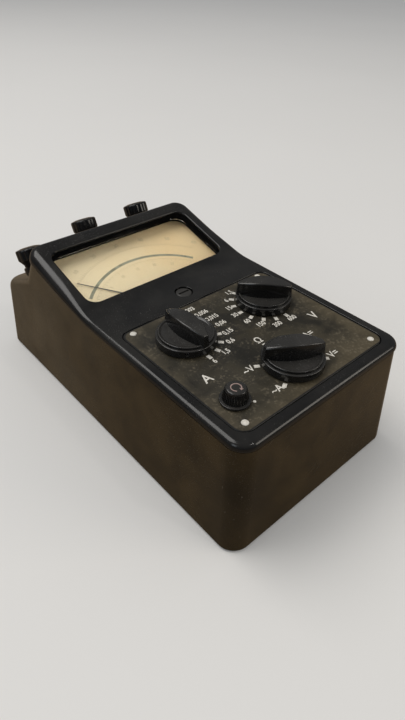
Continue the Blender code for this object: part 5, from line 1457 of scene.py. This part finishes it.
def make_rib_tree():
    """An upright rounded rib on each point, leaning in by the cone's slope."""
    tree, start, end = geometry_tree("Knob_Ribs", (
        ("Radius", "NodeSocketFloat"), ("Height", "NodeSocketFloat"), ("Lean", "NodeSocketFloat"),
        ("Material", "NodeSocketMaterial")))
    rib = wire(
        tree, "GeometryNodeMeshCylinder",
        {"Vertices": 8, "Radius": start.outputs["Radius"], "Depth": start.outputs["Height"]})
    angle = wire(tree, "GeometryNodeInputNamedAttribute", {"Name": "turn"}, data_type="FLOAT").outputs[0]
    lean = wire(tree, "ShaderNodeCombineXYZ", {"Y": start.outputs["Lean"], "Z": angle}).outputs[0]
    set_on = wire(tree, "GeometryNodeInstanceOnPoints", {
        "Points": start.outputs["Geometry"], "Instance": rib.outputs[0], "Rotation": lean})
    return close_geometry(tree, start, end, set_on.outputs[0])


def ohms_cone():
    low = KNOB_LOW
    flange = low + OHMS_FLANGE_HEIGHT
    top = low + OHMS_HEIGHT
    return turned((
        (0, low), (OHMS_FLANGE_RADIUS, low), (OHMS_FLANGE_RADIUS, flange - 0.0003),
        (OHMS_FLANGE_RADIUS - 0.0001, flange - 0.0001),
        (OHMS_FLANGE_RADIUS - 0.0003, flange), (OHMS_FOOT_RADIUS - 0.00015, flange),
        (OHMS_TOP_RADIUS - 0.00015, top - 0.0006),
        (OHMS_TOP_RADIUS - 0.0004, top - 0.0002), (OHMS_TOP_RADIUS - 0.0008, top), (0.0024, top - 0.0001),
        (0, top - 0.0001)), KNOB_SIDES)


rib_tree = make_rib_tree()
rib_span = OHMS_HEIGHT - OHMS_FLANGE_HEIGHT - 0.0007
rib_lean = math.atan((OHMS_FOOT_RADIUS - OHMS_TOP_RADIUS) / rib_span)
rib_ring = (OHMS_FOOT_RADIUS + OHMS_TOP_RADIUS) / 2 - 0.00016
rib_z = KNOB_LOW + OHMS_FLANGE_HEIGHT + rib_span / 2
rib_points = []
for number in range(OHMS_RIBS):
    angle = FULL_TURN * number / OHMS_RIBS
    rib_points.append(((rib_ring * math.cos(angle), rib_ring * math.sin(angle), rib_z), angle))
ribs = grow(
    rib_tree, rib_points,
    {"Radius": 0.0003, "Height": rib_span, "Lean": -rib_lean, "Material": knob_moulding})
ohms_knob = finish_piece(
    "zero_ohms_grip", moved(gather([ohms_cone(), ribs]), shift(-OHMS_SIDE, RIM_FRONT + OHMS_REACH, 0)),
    knob_moulding,
    "zero_ohms_control", ["zero_ohms_knob"])
report(ohms_knob)


SIGN_INNER, SIGN_OUTER = 0.0020, 0.0025
SIGN_SWEEP = 290
ARROW_LENGTH, ARROW_WIDTH = 0.0011, 0.0018


def turning_sign():
    """An open ring that ends in an arrowhead, the usual sign for a control to be set."""
    ring_shape = arc_strip(SIGN_INNER, SIGN_OUTER, SIGN_SWEEP, PRINT_RISE, 40)
    half = ARROW_WIDTH / 2
    head = prism(((0, -half), (ARROW_LENGTH, 0), (0, half)), -PRINT_RISE, PRINT_RISE)
    at = QUARTER - math.radians(SIGN_SWEEP / 2)
    middle = (SIGN_INNER + SIGN_OUTER) / 2
    arrow = moved(head, shift(middle * math.cos(at), middle * math.sin(at), 0) @ spin(at - QUARTER))
    return gather([ring_shape, arrow])


sign_place = shift(-OHMS_SIDE, RIM_FRONT + OHMS_REACH, KNOB_LOW + OHMS_HEIGHT - 0.00006)
sign = finish_piece(
    "zero_ohms_sign", moved(turning_sign(), sign_place), pink_ink, "zero_ohms_control")
report(sign)

# %% [markdown]
# ## The zero adjuster
#
# A slotted disc lies just below the deck in front of the window. Its slot stands across the
# instrument, and a dark ring shows where it meets the cover.

# %% Zero adjuster
adjuster_low, adjuster_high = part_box("zero_adjust_screw")
ADJUSTER_TOP = adjuster_high.z
ADJUSTER_DISC = 0.0014
ADJUSTER_STEM_RADIUS = 0.002
ADJUSTER_STEM_LOW = adjuster_low.z + 0.0043
ECCENTRIC = 0.0015
ECCENTRIC_RADIUS = 0.0006
SLOT_REACH = 0.0033
SLOT_WIDTH = 0.0012
SLOT_DEPTH = 0.0007


def make_adjuster():
    profile = (
        (0, ADJUSTER_TOP - ADJUSTER_DISC), (ADJUSTER_RADIUS, ADJUSTER_TOP - ADJUSTER_DISC),
        (ADJUSTER_RADIUS, ADJUSTER_TOP - 0.0008),
        (ADJUSTER_RADIUS - 0.0003, ADJUSTER_TOP - 0.0003), (ADJUSTER_RADIUS - 0.0008, ADJUSTER_TOP),
        (0, ADJUSTER_TOP))
    inside = ADJUSTER_TOP - 0.001
    stem = rod(ADJUSTER_STEM_RADIUS, ADJUSTER_STEM_LOW, inside)
    pin = moved(rod(ECCENTRIC_RADIUS, adjuster_low.z, inside, 24), shift(0, -ECCENTRIC, 0))
    slot = block(
        (-SLOT_REACH, SLOT_REACH), (-SLOT_WIDTH / 2, SLOT_WIDTH / 2),
        (ADJUSTER_TOP - SLOT_DEPTH, ADJUSTER_TOP + OVERRUN))
    shape = combine(turned(profile, 64), (("UNION", stem), ("UNION", pin), ("DIFFERENCE", slot)))
    return moved(shape, shift(0, ADJUSTER_Y, 0))


adjuster = finish_piece(
    "zero_adjuster_head", make_adjuster(), adjuster_moulding, "zero_adjuster",
    ["zero_adjust_screw"])
report(adjuster)

# %% [markdown]
# ## Terminals
#
# Each terminal has a round collar and a fluted cap with a narrow neck. The flutes are a cosine round
# the rim, so the cap is a stack of such outlines, deeper where the fingers hold it.

# %% Caps and collars
COLLAR_RADIUS = 0.0066
COLLAR_HEIGHT = 0.0032
STUD_RADIUS = 0.0025
STUD_TOP = 0.0130
CAP_DOWN = GAP + COLLAR_HEIGHT + GAP
CAP_HEIGHT = 0.0112
CAP_RADIUS = 0.008
CAP_HEAD_HEIGHT = 0.0072
CAP_NECK_RADIUS = 0.0056
CAP_NECK_HEIGHT = 0.0012
CAP_FLUTES = 12
CAP_FLUTE_DEPTH = 0.0004
CAP_CROWN = 0.0006
CAP_BORE_RADIUS = 0.0043
CAP_BORE_DEPTH = 0.0078


def fluted(levels, flutes, depth, points_per_flute=8):
    """A knob turned from levels of (radius, height, flute share) with grooves down its side."""
    count = flutes * points_per_flute
    rings = []
    for radius, height, share in levels:
        points = []
        for step in range(count):
            angle = FULL_TURN * (step + 0.5) / count - QUARTER
            wave = (1 - math.cos(flutes * (angle + QUARTER))) / 2
            groove = depth * share * wave ** 3
            points.append(((radius - groove) * math.cos(angle), (radius - groove) * math.sin(angle), height))
        rings.append(points)
    return skin(rings)


def make_cap(x, lift):
    head = CAP_HEIGHT - CAP_HEAD_HEIGHT
    edge = 0.0011
    levels = [
        (CAP_NECK_RADIUS - 0.0002, 0, 0), (CAP_NECK_RADIUS, 0.0002, 0), (CAP_NECK_RADIUS, CAP_NECK_HEIGHT, 0),
        (CAP_RADIUS - 0.0005, head - 0.0001, 0.6), (CAP_RADIUS - 0.0001, head + 0.0003, 1),
        (CAP_RADIUS, head + 0.0009, 1)]
    shoulder = CAP_HEIGHT - CAP_CROWN
    for step in range(6):
        angle = QUARTER * step / 5
        radius, height = CAP_RADIUS - edge * (1 - math.cos(angle)), shoulder - edge * (1 - math.sin(angle))
        levels.append((radius, height, 1 - step / 5))
    levels += [(0.0045, CAP_HEIGHT - 0.0001, 0), (0.002, CAP_HEIGHT, 0), (0.0003, CAP_HEIGHT, 0)]
    tip = STUD_TOP - CAP_DOWN + GAP
    bore = ((0, -OVERRUN), (CAP_BORE_RADIUS, -OVERRUN), (CAP_BORE_RADIUS, CAP_BORE_DEPTH),
            (STUD_RADIUS + GAP, CAP_BORE_DEPTH), (STUD_RADIUS + GAP, tip), (0, tip))
    shape = combine(fluted(levels, CAP_FLUTES, CAP_FLUTE_DEPTH), [("DIFFERENCE", turned(bore, 32))])
    return moved(shape, terminal_frame(x) @ shift(0, 0, CAP_DOWN + lift))


def make_collar(x):
    inner = STUD_RADIUS + GAP
    top = GAP + COLLAR_HEIGHT
    inside = -(CASE_WALL * math.sin(LEDGE_ANGLE) + LEDGE_WALL * math.cos(LEDGE_ANGLE))
    profile = (
        (inner, inside), (COLLAR_STEM_RADIUS, inside), (COLLAR_STEM_RADIUS, GAP), (COLLAR_RADIUS, GAP),
        (COLLAR_RADIUS, top - 0.0008), (COLLAR_RADIUS - 0.0002, top - 0.0003), (COLLAR_RADIUS - 0.0007, top),
        (inner, top))
    return moved(turned(profile, 64, closed=True), terminal_frame(x))


for name, x, lift in TERMINALS:
    report(finish_piece(
        name + "_screw_cap", make_cap(x, lift), black_moulding, name + "_cap",
        [name + "_terminal_cap"],
        smooth=math.radians(50)))
    finish_piece(
        name + "_post_collar", make_collar(x), black_moulding, "root",
        [name + "_terminal_collar"])

# %% [markdown]
# ## Finishes of the other nodes
#
# The plates, feet, screws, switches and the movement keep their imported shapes. Each gets the finish
# of what it is made of.

# %% Carried-over nodes
FINISHES = (
    ("window_glass", window_pane), ("scale_plate", scale_card), ("bottom_plate", black_moulding),
    ("battery_cover", black_moulding), ("battery_cradle", paper_laminate), ("battery_cell", cell_jacket),
    ("battery_contact", dull_brass), ("foot", moulded_rubber), ("case_screw", plain_steel),
    ("circuit_board", paper_laminate), ("switch_frame", plain_steel), ("switch_shaft", plain_steel),
    ("switch_wafer", paper_laminate), ("hairspring", spring_bronze), ("iron_core", soft_iron),
    ("pole_piece", soft_iron), ("magnet", soft_iron), ("terminal_insert", dull_brass),
    ("terminal_stud", dull_brass),
    ("movement_bracket", plain_aluminium), ("moving_coil", winding_copper), ("pointer", pointer_paint),
    ("bridge", dull_brass), ("zero_adjust_lever", dull_brass), ("zero_ohms_potentiometer", plain_aluminium),
    ("zero_ohms_shaft", plain_steel))
dressed = 0
for node_name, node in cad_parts.items():
    finish = next((material for word, material in FINISHES if word in node_name), None)
    if finish and not node.hide_render:
        node.data.materials.clear()
        node.data.materials.append(finish)
        dressed += 1
print(dressed, "nodes dressed")
